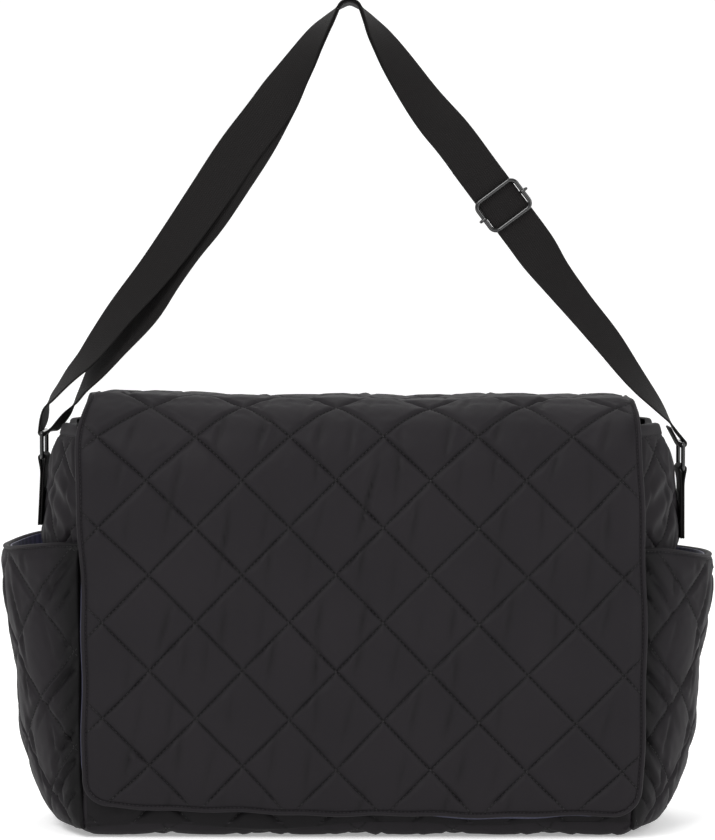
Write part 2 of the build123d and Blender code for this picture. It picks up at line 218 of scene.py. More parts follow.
class Panel:
    """A closed quilted panel over (u, v) in mm. place(u, v, h) gives points h mm off its outer face.

    edges gives for left, right, bottom and top what the cloth does there: "roll" is a turned, cord-like
    edge, "hem" a flat band inside a line of stitches, "welt" a narrow one, "seam" goes down into a seam
    and "cut" ends square. shade, where there is one, gives how much painted shade lies on the cloth, as in
    its folds."""

    WIDTHS = {"roll": 3.4, "hem": 8.0, "welt": 2.8, "seam": 0.0, "cut": 0.0}

    def __init__(self, place, u_range, v_range, edges, node, field, thickness=PANEL, corner=0.0, shade=None):
        self.place, self.u_range, self.v_range = place, u_range, v_range
        self.edges, self.node, self.field = edges, node, field
        self.thickness, self.corner, self.shade = thickness, corner, shade

    def distances(self, u, v):
        """Distance from each edge, with the lower corners rounded."""
        left, right = u - self.u_range[0], self.u_range[1] - u
        bottom, top = v - self.v_range[0], self.v_range[1] - v
        if self.corner:
            for side in (left, right):
                inside = (side < self.corner) & (bottom < self.corner)
                round_off = self.corner - np.hypot(self.corner - side, self.corner - bottom)
                side[inside] = round_off[inside]
                bottom = np.where(inside, round_off, bottom)
        return left, right, bottom, top

    def quilting(self, u, v):
        """1 on the quilted field and 0 on turned borders and hems."""
        share = np.ones_like(u)
        for kind, e in zip(self.edges, self.distances(u, v)):
            if self.WIDTHS[kind]:
                share = share * smooth(e, self.WIDTHS[kind] - 0.3, self.WIDTHS[kind] + 0.3)
        return share

    def painted_shade(self, u, v):
        """How much painted shade the sharp creases of the cloth get, 0 to 1, or the panel's own shade where
        that is darker.
        """
        lu, lv = u - self.node[0], v - self.node[1]
        share = np.clip(-drag_creases(lu, lv) / 2.6, 0, 1) * self.quilting(u, v)
        return share if self.shade is None else np.maximum(share, self.shade(u, v))

    def heights(self, u, v):
        """Height of the outer and of the inner face."""
        lu, lv = u - self.node[0], v - self.node[1]
        d = seam_distance(lu, lv)
        free = 1 - np.exp(-((d / 1.6) ** 2))
        loft = 1.25 * np.maximum(self.field.at(lu, lv), 0) ** 0.6
        puff = (loft + drag_creases(lu, lv)) * free - np.exp(-((d / 1.3) ** 2))
        outer, inner = puff, np.full_like(u, -self.thickness)
        half = self.thickness / 2
        for kind, e in zip(self.edges, self.distances(u, v)):
            e = np.maximum(e, 0)
            if kind == "cut":
                continue
            width = self.WIDTHS[kind]
            nose = 1.2 if kind == "hem" else 1.7
            bow = np.sqrt(np.clip(1 - (1 - np.minimum(e, nose) / nose) ** 2, 0, 1))
            inner = np.maximum(inner, -half - half * bow)
            if kind == "seam":
                ramp = smooth(e, 0, 11)
                outer = outer * ramp + (-half * (1 - bow)) * (1 - ramp) - 0.4 * np.exp(-e / 2)
                continue
            crown = {"roll": 0.5, "hem": -0.3, "welt": 0.0}[kind]
            border = -half + (half + crown) * bow
            groove = -1.1 * np.exp(-(((e - width) / 0.9) ** 2))
            pucker = 0.35 * np.sin(2 * pi * (u + v) / 4.3 + 2 * ripple(u, v, 30, 5))
            rise = smooth(e, width, width + 9)
            field = outer * rise + pucker * (1 - rise) * smooth(e, width, width + 2)
            outer = np.where(e < width, border, field) + groove
        return outer, inner

    def ticks(self, axis):
        """Grid lines in step with the diamonds, with closer ones at the borders."""
        low, high = (self.u_range, self.v_range)[axis]
        first, last = (self.edges[0], self.edges[1]) if axis == 0 else (self.edges[2], self.edges[3])
        step = (STEP_X, STEP_Z)[axis]
        near = {"roll": [0, 0.2, 0.6, 1.2, 1.9, 2.5, 3.0, 3.4, 3.8, 4.5, 5.6],
                "hem": [0, 0.3, 0.8, 1.6, 4, 6.4, 7.5, 8.0, 8.5, 9.6],
                "welt": [0, 0.2, 0.5, 1.1, 1.8, 2.4, 2.8, 3.2, 3.9, 5.0],
                "seam": [0, 0.3, 0.9, 1.8, 3.2],
                "cut": [0]}
        start = [low + x for x in near[first]]
        end = [high - x for x in near[last]][::-1]
        k = np.arange(np.ceil((start[-1] - self.node[axis]) / step + 0.45),
                      np.floor((end[0] - self.node[axis]) / step - 0.45) + 1)
        return np.array([*start, *(self.node[axis] + k * step), *end])

    def rounded(self, u, v):
        """Moves the grid's lower corners onto the rounded outline."""
        if not self.corner:
            return u, v
        u, v = u.copy(), v.copy()
        r = self.corner
        for side, sign in ((self.u_range[0] + r, -1), (self.u_range[1] - r, 1)):
            p, q = (u - side) * sign, self.v_range[0] + r - v
            inside = (p > 0) & (q > 0)
            scale = np.maximum(p, q) / np.maximum(np.hypot(p, q), 1e-9)
            u = np.where(inside, side + sign * p * scale, u)
            v = np.where(inside, self.v_range[0] + r - q * scale, v)
        return u, v

    def build(self, name, material):
        """The panel's object, with its outer and inner faces joined round the rim."""
        us, vs = self.ticks(0), self.ticks(1)
        grid_u, grid_v = np.meshgrid(us, vs)
        u, v = self.rounded(grid_u, grid_v)
        outer, inner = self.heights(u, v)
        rows, columns = u.shape
        front = self.place(u.ravel(), v.ravel(), outer.ravel())
        back = self.place(u.ravel(), v.ravel(), inner.ravel())
        index = np.arange(rows * columns).reshape(rows, columns)
        a, b, c, d = (x.ravel() for x in (index[:-1, :-1], index[:-1, 1:], index[1:, 1:], index[1:, :-1]))
        # triangles lie along the nearest quilting line, so that its groove stays sharp
        mid_u = (grid_u[:-1, :-1] + grid_u[1:, 1:]).ravel() / 2 - self.node[0]
        mid_v = (grid_v[:-1, :-1] + grid_v[1:, 1:]).ravel() / 2 - self.node[1]
        p, q = line_counts(mid_u, mid_v)
        falling = (abs(p - np.round(p)) < abs(q - np.round(q)))[:, None]
        first = np.where(falling, np.stack([a, b, d], 1), np.stack([a, b, c], 1))
        second = np.where(falling, np.stack([b, c, d], 1), np.stack([a, c, d], 1))
        count = rows * columns
        faces = np.concatenate([first, second, first[:, ::-1] + count, second[:, ::-1] + count]).tolist()
        rim = np.concatenate([index[0, :], index[1:, -1], index[-1, -2::-1], index[-2:0:-1, 0]])
        after = np.roll(rim, -1)
        faces += np.stack([rim + count, after + count, after, rim], 1).tolist()
        cloth = np.stack([u.ravel() - self.node[0], v.ravel() - self.node[1]], 1)
        quilted = self.quilting(u.ravel(), v.ravel())
        # painted shade in the creases and wherever the panel's shade adds it, kept on the mesh for the
        # material
        crease_shade = self.painted_shade(u.ravel(), v.ravel())
        return new_object(name, np.concatenate([front, back]), faces, np.concatenate([cloth, cloth]),
                          {"quilted": np.concatenate([quilted, np.zeros_like(quilted)]),
                           "crease_shade": np.concatenate([crease_shade, np.zeros_like(crease_shade)])}, material)

    def on_face(self, u, v, lift=0.0):
        """Points on the outer face, lift mm off it."""
        u, v = np.asarray(u, float), np.asarray(v, float)
        return self.place(u, v, self.heights(u, v)[0] + lift)

    def stitches(self, pitch, margin=1.0):
        """Points, directions and outward normals of the quilting stitches."""
        found = []
        low_u, high_u = self.u_range
        low_v, high_v = self.v_range
        reach = int((high_u - low_u) / DIAMOND_X + (high_v - low_v) / DIAMOND_Z) + 4
        slope = DIAMOND_Z / DIAMOND_X
        pace = pitch * DIAMOND_X / np.hypot(DIAMOND_X, DIAMOND_Z)
        length = np.arange(low_u + margin, high_u - margin, pace)
        for sign in (-1, 1):
            for k in range(-reach, reach):
                v = self.node[1] + k * DIAMOND_Z + sign * slope * (length - self.node[0])
                keep = (v > low_v + margin) & (v < high_v - margin)
                u_in, v_in = length[keep], v[keep]
                if len(u_in) == 0:
                    continue
                away = self.quilting(u_in, v_in) > 0.9
                found.append((u_in[away], v_in[away], sign * slope))
        return self.frames([(u, v, (1.0, s)) for u, v, s in found if len(u)])

    def frames(self, runs):
        """Points, directions and outward normals along runs of stitches."""
        points, along, normal = [], [], []
        for u, v, (du, dv) in runs:
            size = np.hypot(du, dv)
            here = self.on_face(u, v, 0.25)
            ahead = self.on_face(u + 0.5 * du / size, v + 0.5 * dv / size, 0.25)
            out = self.place(u, v, np.full_like(u, 5.0)) - self.place(u, v, np.zeros_like(u))
            points.append(here)
            along.append(ahead - here)
            normal.append(out)
        return np.concatenate(points), np.concatenate(along), np.concatenate(normal)

    def border_stitches(self, pitch):
        """Stitches along every turned border and hem."""
        runs = []
        sides = dict(zip(("left", "right", "bottom", "top"), self.edges))
        inset = {side: self.WIDTHS[kind] for side, kind in sides.items()}
        round_in = max(self.corner - inset["bottom"], 0) if self.corner else 0
        low_u, high_u = self.u_range[0] + inset["left"], self.u_range[1] - inset["right"]
        low_v, high_v = self.v_range[0] + inset["bottom"], self.v_range[1] - inset["top"]
        for side, u in (("left", low_u), ("right", high_u)):
            if inset[side]:
                v = np.arange(low_v + round_in, high_v, pitch)
                runs.append((np.full_like(v, u), v, (0.0, 1.0)))
        for side, v in (("bottom", low_v), ("top", high_v)):
            if inset[side]:
                gap = round_in if side == "bottom" else 0
                u = np.arange(low_u + gap, high_u - gap, pitch)
                runs.append((u, np.full_like(u, v), (1.0, 0.0)))
        if round_in:
            for sign, middle in ((-1, low_u + round_in), (1, high_u - round_in)):
                for a in np.arange(0.1, pi / 2, pitch / round_in):
                    u = np.array([middle + sign * round_in * np.cos(a)])
                    v = np.array([low_v + round_in - round_in * np.sin(a)])
                    runs.append((u, v, (sign * -np.sin(a), -np.cos(a))))
        return self.frames(runs)


def walked(points):
    """How far along the line each of its points lies."""
    return np.concatenate([[0], np.cumsum(np.linalg.norm(np.diff(points, axis=0), axis=1))])


def unit(vectors):
    """The same directions at length one."""
    return vectors / np.linalg.norm(vectors, axis=1)[:, None]


def ribbon(name, points, normals, material):
    """Webbing along points in mm with its outer face turned to the normals, closed at both ends."""
    points, normals = np.asarray(points, float), np.asarray(normals, float)
    travel = unit(np.gradient(points, axis=0))
    across = unit(np.cross(normals, travel))
    face = np.cross(travel, across)
    half, t = WEB_WIDTH / 2, WEB / 2
    rise = [(-half, 0.0), (-half + 0.12, 0.6 * t), (-half + 0.5, t)]
    flat = [(x, t) for x in np.linspace(-half + 1.6, half - 1.6, 7)]
    top = rise + flat + [(-x, y) for x, y in rise[::-1]]
    section = np.array(top + [(x, -y) for x, y in top[-2:0:-1]])
    count = len(section)
    rows = [p + np.outer(section[:, 0], w) + np.outer(section[:, 1], f)
            for p, w, f in zip(points, across, face)]
    vertices = np.concatenate(rows)
    faces = []
    for i in range(len(points) - 1):
        for j in range(count):
            k = (j + 1) % count
            faces.append((i * count + j, i * count + k, (i + 1) * count + k, (i + 1) * count + j))
    last = (len(points) - 1) * count
    faces += [tuple(range(count)), tuple(range(last + count - 1, last - 1, -1))]
    uv = np.concatenate([np.stack([section[:, 0], np.full(count, s)], 1) for s in walked(points)])
    return new_object(name, vertices, faces, uv, None, material, 40)


def route(stops, layer, step=2.0):
    """Points and outward normals of one layer of webbing on its route; layer is 1 outside and -1 under it."""
    stops = np.asarray(stops, float)
    run = walked(stops[:, :2])
    at = np.linspace(0, run[-1], max(int(run[-1] / step), 3))
    slope = np.gradient(stops, run, axis=0)
    i = np.clip(np.searchsorted(run, at, side="right") - 1, 0, len(run) - 2)
    h = (run[i + 1] - run[i])[:, None]
    t = ((at - run[i]) / h[:, 0])[:, None]
    curve = ((2 * t**3 - 3 * t**2 + 1) * stops[i] + (t**3 - 2 * t**2 + t) * h * slope[i]
             + (3 * t**2 - 2 * t**3) * stops[i + 1] + (t**3 - t**2) * h * slope[i + 1])
    x, z, turn = curve[:, 0], curve[:, 1], np.radians(np.clip(curve[:, 2], -15, 90))
    dx, dz = np.gradient(x), np.gradient(z)
    size = np.hypot(dx, dz)
    out = np.stack([-dz / size, np.zeros_like(x), dx / size], 1)
    normals = out * np.cos(turn)[:, None] + np.array([0, -1, 0]) * np.sin(turn)[:, None]
    points = np.stack([x, np.zeros_like(x), z], 1) + normals * (layer * PLY)
    return points, normals


def arc(centre, radius, start, end, steps=14):
    """Points round a wire and their outward normals; angles in degrees from +X towards +Z."""
    a = np.radians(np.linspace(start, end, steps))
    normals = np.stack([np.cos(a), np.zeros_like(a), np.sin(a)], 1)
    return np.array([centre[0], 0, centre[1]]) + radius * normals, normals


def eased(points, step=1.6, passes=6):
    """The same line with even steps and softened corners."""
    points = np.asarray(points, float)
    for _ in range(2):
        run = walked(points)
        at = np.linspace(0, run[-1], max(int(run[-1] / step), 4))
        points = np.stack([np.interp(at, run, points[:, k]) for k in range(points.shape[1])], 1)
        for _ in range(passes):
            points[1:-1] = (points[:-2] + 2 * points[1:-1] + points[2:]) / 4
    return points


# ---- Materials ---------------------------------------------------------------------------------
def linear(code):
    """An sRGB hex colour as linear values, with alpha 1."""
    channels = [int(code[i:i + 2], 16) / 255 for i in (1, 3, 5)]
    return (*[c / 12.92 if c <= 0.04045 else ((c + 0.055) / 1.055) ** 2.4 for c in channels], 1.0)


def dye(name):
    """One of the bag's own colours, for a node's input."""
    return (*getattr(bpy.context.scene.bag_colours, name), 1.0)


def add(tree, kind, inputs=None, **settings):
    """Adds one node with its settings, and fills or links its inputs."""
    made = tree.nodes.new(kind)
    for key, value in settings.items():
        setattr(made, key, value)
    for key, value in (inputs or {}).items():
        if isinstance(value, bpy.types.NodeSocket):
            tree.links.new(value, made.inputs[key])
        else:
            made.inputs[key].default_value = value
    return made


def calc(tree, operation, *values):
    """One step of arithmetic in a node tree; gives its output."""
    return add(tree, "ShaderNodeMath", dict(enumerate(values)), operation=operation).outputs[0]


def new_material(name, **shader):
    """An empty material with one surface shader, its tree and that shader."""
    material = bpy.data.materials.new(name)
    material.use_nodes = True
    tree = material.node_tree
    tree.nodes.clear()
    surface = add(tree, "ShaderNodeBsdfPrincipled", shader)
    add(tree, "ShaderNodeOutputMaterial", {"Surface": surface.outputs[0]})
    return material, tree, surface


def cloth_mm(tree):
    """Across and along on the cloth, in mm."""
    uv = add(tree, "ShaderNodeUVMap", uv_map="cloth_mm")
    split = add(tree, "ShaderNodeSeparateXYZ", {0: uv.outputs[0]})
    return split.outputs[0], split.outputs[1]


def cloudy(tree, scale, detail=3.0):
    """Noise over the object, with the scale in lumps per metre."""
    where = add(tree, "ShaderNodeTexCoord").outputs["Object"]
    return add(tree, "ShaderNodeTexNoise", {"Vector": where, "Scale": scale, "Detail": detail}).outputs["Fac"]


def mixed(tree, share, low, high):
    """A colour between low and high by share."""
    made = add(tree, "ShaderNodeMix", data_type="RGBA")
    for socket, value in ((made.inputs[0], share), (made.inputs[6], low), (made.inputs[7], high)):
        if isinstance(value, bpy.types.NodeSocket):
            tree.links.new(value, socket)
        else:
            socket.default_value = value
    return made.outputs[2]


def weave(tree, u, v, pitch):
    """Height of a plain weave with that pitch in mm."""
    across = calc(tree, "SINE", calc(tree, "MULTIPLY", u, 2 * pi / pitch))
    along = calc(tree, "SINE", calc(tree, "MULTIPLY", v, 2 * pi / pitch))
    return calc(tree, "MULTIPLY", across, along)


def nylon():
    """Matt nylon taffeta: near-black cloth with a fine even weave. The eye sees cloudy patches in its tone,
    dark broken lines where thread holds it down, which are painted shade in the grooves with the stitches'
    dashes in it, and painted shade in the creases where it folds. The weave is drawn at 0.55 mm, coarser
    than real threads, so that it can show."""
    material, tree, surface = new_material("nylon_taffeta", **{
        "Roughness": 0.6, "Specular IOR Level": 0.14, "Sheen Weight": 0.01, "Sheen Roughness": 0.5})
    u, v = cloth_mm(tree)
    p = calc(tree, "ADD", calc(tree, "DIVIDE", u, DIAMOND_X), calc(tree, "DIVIDE", v, DIAMOND_Z))
    q = calc(tree, "SUBTRACT", calc(tree, "DIVIDE", u, DIAMOND_X), calc(tree, "DIVIDE", v, DIAMOND_Z))
    off = [calc(tree, "ABSOLUTE", calc(tree, "SUBTRACT", x, calc(tree, "ROUND", x))) for x in (p, q)]
    distance = calc(tree, "MULTIPLY", calc(tree, "MINIMUM", *off), float(SPACING))
    # painted shade in the grooves along the quilting lines, full near a line and gone 1.05 mm from it
    fold = add(tree, "ShaderNodeMapRange", {
        "Value": distance, "From Min": 0.15, "From Max": 1.05, "To Min": 1.0, "To Max": 0.0},
        interpolation_type="SMOOTHSTEP").outputs[0]
    nearer = calc(tree, "LESS_THAN", *off)
    along = calc(tree, "ADD", calc(tree, "MULTIPLY", q, nearer),
                 calc(tree, "MULTIPLY", p, calc(tree, "SUBTRACT", 1.0, nearer)))
    dash = calc(tree, "SINE", calc(tree, "MULTIPLY", along, float(2 * pi * SPACING / PITCH)))
    sewn = calc(tree, "MULTIPLY_ADD", dash, 0.28, 0.72)
    quilted = add(tree, "ShaderNodeAttribute", attribute_name="quilted").outputs["Fac"]
    # the painted groove shade, on the quilted field only and broken in step with the stitches
    groove_shade = calc(tree, "MULTIPLY", calc(tree, "MULTIPLY", fold, quilted), sewn)
    tone = mixed(tree, cloudy(tree, 14), dye("nylon_dark"), dye("nylon_pale"))
    # painted shade in the creases, at the foot of the walls and beside the pocket seams, read from the mesh
    crease_shade = add(tree, "ShaderNodeAttribute", attribute_name="crease_shade").outputs["Fac"]
    shaded = mixed(tree, calc(tree, "MULTIPLY", crease_shade, 0.85), tone, dye("fold"))
    tree.links.new(mixed(tree, groove_shade, shaded, dye("seam")), surface.inputs["Base Color"])
    grain = calc(tree, "ADD", weave(tree, u, v, 0.55), calc(tree, "MULTIPLY", cloudy(tree, 900), 1.6))
    creases = cloudy(tree, 95, 4)
    height = calc(tree, "ADD", calc(tree, "MULTIPLY", grain, 0.02), calc(tree, "MULTIPLY", creases, 0.55))
    bump = add(tree, "ShaderNodeBump", {"Height": height, "Strength": 0.35, "Distance": 0.001})
    tree.links.new(bump.outputs[0], surface.inputs["Normal"])
    return material


def lining_cloth(name, ground, stripe):
    """Woven polyester lining: navy with fine paler stripes 4 mm apart, and a soft satin light. Its weave is
    drawn at 0.5 mm, coarser than real threads, so that it can show."""
    material, tree, surface = new_material(name, **{"Roughness": 0.5, "Sheen Weight": 0.15})
    u, v = cloth_mm(tree)
    wave = calc(tree, "SINE", calc(tree, "MULTIPLY", u, 2 * pi / 4.0))
    bands = add(tree, "ShaderNodeMapRange", {"Value": wave, "From Min": -0.2, "From Max": 0.2}).outputs[0]
    tree.links.new(mixed(tree, bands, dye(ground), dye(stripe)), surface.inputs["Base Color"])
    height = calc(tree, "ADD", calc(tree, "MULTIPLY", weave(tree, u, v, 0.5), 0.03), cloudy(tree, 120, 4))
    bump = add(tree, "ShaderNodeBump", {"Height": height, "Strength": 0.3, "Distance": 0.001})
    tree.links.new(bump.outputs[0], surface.inputs["Normal"])
    return material


def webbing_cloth():
    """Polypropylene webbing: black ribs across the strap, with a dull painted light on each crown, painted
    shade in the hollows between, and worn tight edges.
    """
    material, tree, surface = new_material("polypropylene_webbing", **{
        "Roughness": 0.65, "Specular IOR Level": 0.12})
    u, v = cloth_mm(tree)
    slant = calc(tree, "ADD", v, calc(tree, "MULTIPLY", calc(tree, "PINGPONG", u, 1.5), 0.8))
    ribs = calc(tree, "SINE", calc(tree, "MULTIPLY", slant, 2 * pi / 1.5))
    cords = calc(tree, "SINE", calc(tree, "MULTIPLY", u, 2 * pi / 1.5))
    body = calc(tree, "ADD", calc(tree, "MULTIPLY", ribs, 0.6), calc(tree, "MULTIPLY", cords, 0.7))
    # painted light and shade: the ribs' crowns are painted paler and the hollows between them darker, in step
    # with the bump
    share = add(tree, "ShaderNodeMapRange", {"Value": body, "From Min": -1.3, "From Max": 1.3}).outputs[0]
    tree.links.new(mixed(tree, share, dye("webbing_dark"), dye("webbing_pale")), surface.inputs["Base Color"])
    bump = add(tree, "ShaderNodeBump", {"Height": body, "Strength": 0.6, "Distance": 0.00022})
    tree.links.new(bump.outputs[0], surface.inputs["Normal"])
    return material


def enamelled_wire():
    """Black enamel on steel wire: smooth and glossy, with a faint ripple that bends the highlights."""
    material, tree, surface = new_material("enamelled_steel_wire", **{
        "Base Color": dye("wire"), "Roughness": 0.22, "Coat Weight": 0.4})
    bump = add(tree, "ShaderNodeBump", {"Height": cloudy(tree, 400, 2), "Strength": 0.15, "Distance": 0.0003})
    tree.links.new(bump.outputs[0], surface.inputs["Normal"])
    return material


def black_nickel():
    """Black-nickel snap cups: dark satin metal with small scuffs that dull the light."""
    material, tree, surface = new_material("black_nickel", **{
        "Base Color": dye("snap"), "Metallic": 1.0})
    rough = add(tree, "ShaderNodeMapRange", {"Value": cloudy(tree, 500), "To Min": 0.25, "To Max": 0.45})
    tree.links.new(rough.outputs[0], surface.inputs["Roughness"])
    return material


def board_plastic():
    """Moulded board under the lining: matt dark plastic with a fine grain."""
    material, tree, surface = new_material("matt_board", **{
        "Base Color": dye("board"), "Roughness": 0.8})
    bump = add(tree, "ShaderNodeBump", {"Height": cloudy(tree, 800), "Strength": 0.3, "Distance": 0.0004})
    tree.links.new(bump.outputs[0], surface.inputs["Normal"])
    return material


def thread():
    """Spun polyester thread: black with a slight gloss along each stitch."""
    material, tree, surface = new_material("polyester_thread", **{"Roughness": 0.45})
    tone = mixed(tree, cloudy(tree, 300), dye("thread_dark"), dye("thread_pale"))
    tree.links.new(tone, surface.inputs["Base Color"])
    return material


def backdrop():
    """Smooth pale studio floor with a barely uneven tone, and a faint glow of its own that keeps it white."""
    material, tree, surface = new_material("studio_floor", **{
        "Roughness": 0.9, "Emission Color": linear("#FFFFFF"), "Emission Strength": 0.32})
    tone = mixed(tree, cloudy(tree, 3), linear("#F4F4F4"), linear("#FAFAFA"))
    tree.links.new(tone, surface.inputs["Base Color"])
    return material


MATERIALS = {}


def cloth(name):
    """The material of that name, made on first use."""
    makers = {"nylon": nylon,
              "navy": lambda: lining_cloth("polyester_navy", "navy", "navy_stripe"),
              "print": lambda: lining_cloth("polyester_striped", "inside", "inside_stripe"),
              "webbing": webbing_cloth, "wire": enamelled_wire, "nickel": black_nickel,
              "board": board_plastic, "thread": thread, "floor": backdrop}
    if name not in MATERIALS:
        MATERIALS[name] = makers[name]()
    return MATERIALS[name]


# ---- Stitches ----------------------------------------------------------------------------------
PITCH, BORDER_PITCH = 3.3, 2.8          # from stitch to stitch, on the quilting and along borders


def stitch_tree():
    """A node tree that lays one short capsule of thread along each marked point."""
    tree = bpy.data.node_groups.new("stitches", "GeometryNodeTree")
    for name, kind in (("Geometry", "Geometry"), ("Length", "Float"), ("Thread", "Float"),
                       ("Spread", "Float"), ("Seed", "Int"), ("Material", "Material")):
        tree.interface.new_socket(name=name, in_out="INPUT", socket_type=f"NodeSocket{kind}")
    tree.interface.new_socket(name="Geometry", in_out="OUTPUT", socket_type="NodeSocketGeometry")
    source = add(tree, "NodeGroupInput")
    bead = add(tree, "GeometryNodeMeshUVSphere", {"Segments": 5, "Rings": 4, "Radius": 0.5})
    along = add(tree, "GeometryNodeInputNamedAttribute", {"Name": "along"}, data_type="FLOAT_VECTOR")
    out = add(tree, "GeometryNodeInputNamedAttribute", {"Name": "out"}, data_type="FLOAT_VECTOR")
    turn = add(tree, "FunctionNodeAlignRotationToVector", {"Vector": along.outputs[0]}, axis="X")
    face = add(tree, "FunctionNodeAlignRotationToVector", {
        "Rotation": turn.outputs[0], "Vector": out.outputs[0]}, axis="Z", pivot_axis="X")
    uneven = add(tree, "FunctionNodeRandomValue", {"Seed": source.outputs["Seed"]}, data_type="FLOAT")
    tree.links.new(source.outputs["Spread"], uneven.inputs[3])
    length = calc(tree, "MULTIPLY", source.outputs["Length"], calc(tree, "SUBTRACT", 1.0, uneven.outputs[1]))
    size = add(tree, "ShaderNodeCombineXYZ", {
        0: length, 1: source.outputs["Thread"], 2: source.outputs["Thread"]})
    placed = add(tree, "GeometryNodeInstanceOnPoints", {
        "Points": source.outputs["Geometry"], "Instance": bead.outputs["Mesh"], "Rotation": face.outputs[0],
        "Scale": size.outputs[0]})
    real = add(tree, "GeometryNodeRealizeInstances", {0: placed.outputs[0]})
    painted = add(tree, "GeometryNodeSetMaterial", {
        0: real.outputs[0], "Material": source.outputs["Material"]})
    add(tree, "NodeGroupOutput", {0: painted.outputs[0]})
    return tree


def sew(name, groups, seed):
    """One mesh of stitches from groups of points, directions and normals, in mm."""
    points, along, out = (np.concatenate(parts) for parts in zip(*groups))
    mesh = bpy.data.meshes.new(name + "_points")
    mesh.from_pydata((points * MM).tolist(), [], [])
    for key, values in (("along", along), ("out", out)):
        attribute = mesh.attributes.new(key, "FLOAT_VECTOR", "POINT")
        attribute.data.foreach_set("vector", np.asarray(values, np.float32).ravel())
    holder = bpy.data.objects.new(name + "_points", mesh)
    bpy.context.scene.collection.objects.link(holder)
    tree = bpy.data.node_groups.get("stitches") or stitch_tree()
    modifier = holder.modifiers.new("stitches", "NODES")
    modifier.node_group = tree
    given = bpy.context.scene.bag_quilt
    values = {"Length": given.stitch * MM, "Thread": given.thread * MM, "Spread": given.uneven, "Seed": seed,
              "Material": cloth("thread")}
    for item in tree.interface.items_tree:
        if item.in_out == "INPUT" and item.name in values:
            modifier[item.identifier] = values[item.name]
    holder.update_tag()
    graph = bpy.context.evaluated_depsgraph_get()
    final = bpy.data.meshes.new_from_object(holder.evaluated_get(graph), depsgraph=graph)
    bpy.data.objects.remove(holder)
    final.name = name
    if not final.materials:
        final.materials.append(cloth("thread"))
    final.shade_smooth()
    obj = bpy.data.objects.new(name, final)
    bpy.context.scene.collection.objects.link(obj)
    return obj


# ---- The quilted cloth -------------------------------------------------------------------------
SHEET_X, SHEET_Z = 8, 9                 # diamonds across and along the quilted sheet
SHEET_START = (-4, -4)
COARSE = 16                             # simulated cells along a diamond's diagonal
SIM_SCALE = 0.01                        # the sheet is simulated ten times its size: 1 mm is 0.01 units


def sewn_sheet(slack_x, slack_z, pressure, frames, seed):
    """Simulates wadded cloth sewn down along its quilting lines, and gives its heights.
    The cloth is cut wider than its backing, so it puffs up between the lines and folds beside them."""
    columns, rows = SHEET_X * COARSE + 1, SHEET_Z * COARSE + 1
    step_u, step_v = DIAMOND_X / COARSE, DIAMOND_Z / COARSE
    u, v = np.meshgrid((np.arange(columns) + SHEET_START[0] * COARSE) * step_u,
                       (np.arange(rows) + SHEET_START[1] * COARSE) * step_v)
    sewn = seam_distance(u, v) < 0.3
    rng = np.random.default_rng(seed)
    height = np.where(sewn, 0, 0.6 + 0.25 * rng.standard_normal(u.shape) + 0.3 * ripple(u, v, 12, seed))
    index = np.arange(rows * columns).reshape(rows, columns)
    faces = np.stack([index[:-1, :-1], index[:-1, 1:], index[1:, 1:], index[1:, :-1]], -1).reshape(-1, 4)
    mesh = bpy.data.meshes.new("quilt_sheet")
    flat = np.stack([u, v, height], -1).reshape(-1, 3) * SIM_SCALE
    mesh.from_pydata(flat.tolist(), [], faces.tolist())
    obj = bpy.data.objects.new("quilt_sheet", mesh)
    bpy.context.scene.collection.objects.link(obj)
    group = obj.vertex_groups.new(name="sewn")
    edge = np.zeros_like(sewn)
    edge[[0, -1], :] = edge[:, [0, -1]] = True
    group.add(index[sewn | edge].ravel().tolist(), 1.0, "REPLACE")
    obj.shape_key_add(name="Basis")
    cut = obj.shape_key_add(name="Cut")
    more = 1 + slack_x * (1 + 0.5 * ripple(u, v, 60, seed + 3))
    wide = np.cumsum(np.full_like(u, step_u) * more, axis=1)
    shape = np.stack([wide, v * (1 + slack_z), 0 * u], -1).reshape(-1, 3) * SIM_SCALE
    cut.data.foreach_set("co", shape.ravel().astype(np.float32))
    cut.value = 0.0
    modifier = obj.modifiers.new("cloth", "CLOTH")
    settings = modifier.settings
    settings.quality = 4
    settings.mass = 0.12
    settings.air_damping = 3.0
    settings.tension_stiffness = settings.compression_stiffness = 20.0
    settings.shear_stiffness = 6.0
    settings.bending_stiffness = 0.6
    settings.vertex_group_mass = "sewn"
    settings.rest_shape_key = cut
    settings.use_pressure = True
    settings.uniform_pressure_force = pressure
    settings.effector_weights.gravity = 0.0
    modifier.collision_settings.use_collision = False
    modifier.point_cache.frame_start, modifier.point_cache.frame_end = 1, frames
    scene = bpy.context.scene
    for number in range(1, frames + 1):
        scene.frame_set(number)
    graph = bpy.context.evaluated_depsgraph_get()
    settled = obj.evaluated_get(graph).data
    result = np.zeros(rows * columns * 3)
    settled.vertices.foreach_get("co", result)
    heights = result.reshape(rows, columns, 3)[:, :, 2] / SIM_SCALE
    bpy.data.objects.remove(obj)
    scene.frame_set(1)
    return Field(SHEET_START[0] * DIAMOND_X, SHEET_START[1] * DIAMOND_Z, step_u, step_v, heights)


QUILT = {}


def quilt():
    """Heights of the quilted cloth, made on first use."""
    if "field" not in QUILT:
        given = bpy.context.scene.bag_quilt
        QUILT["field"] = sewn_sheet(given.slack_across, given.slack_along, given.pressure, given.frames,
                                    given.seed)
    return QUILT["field"]


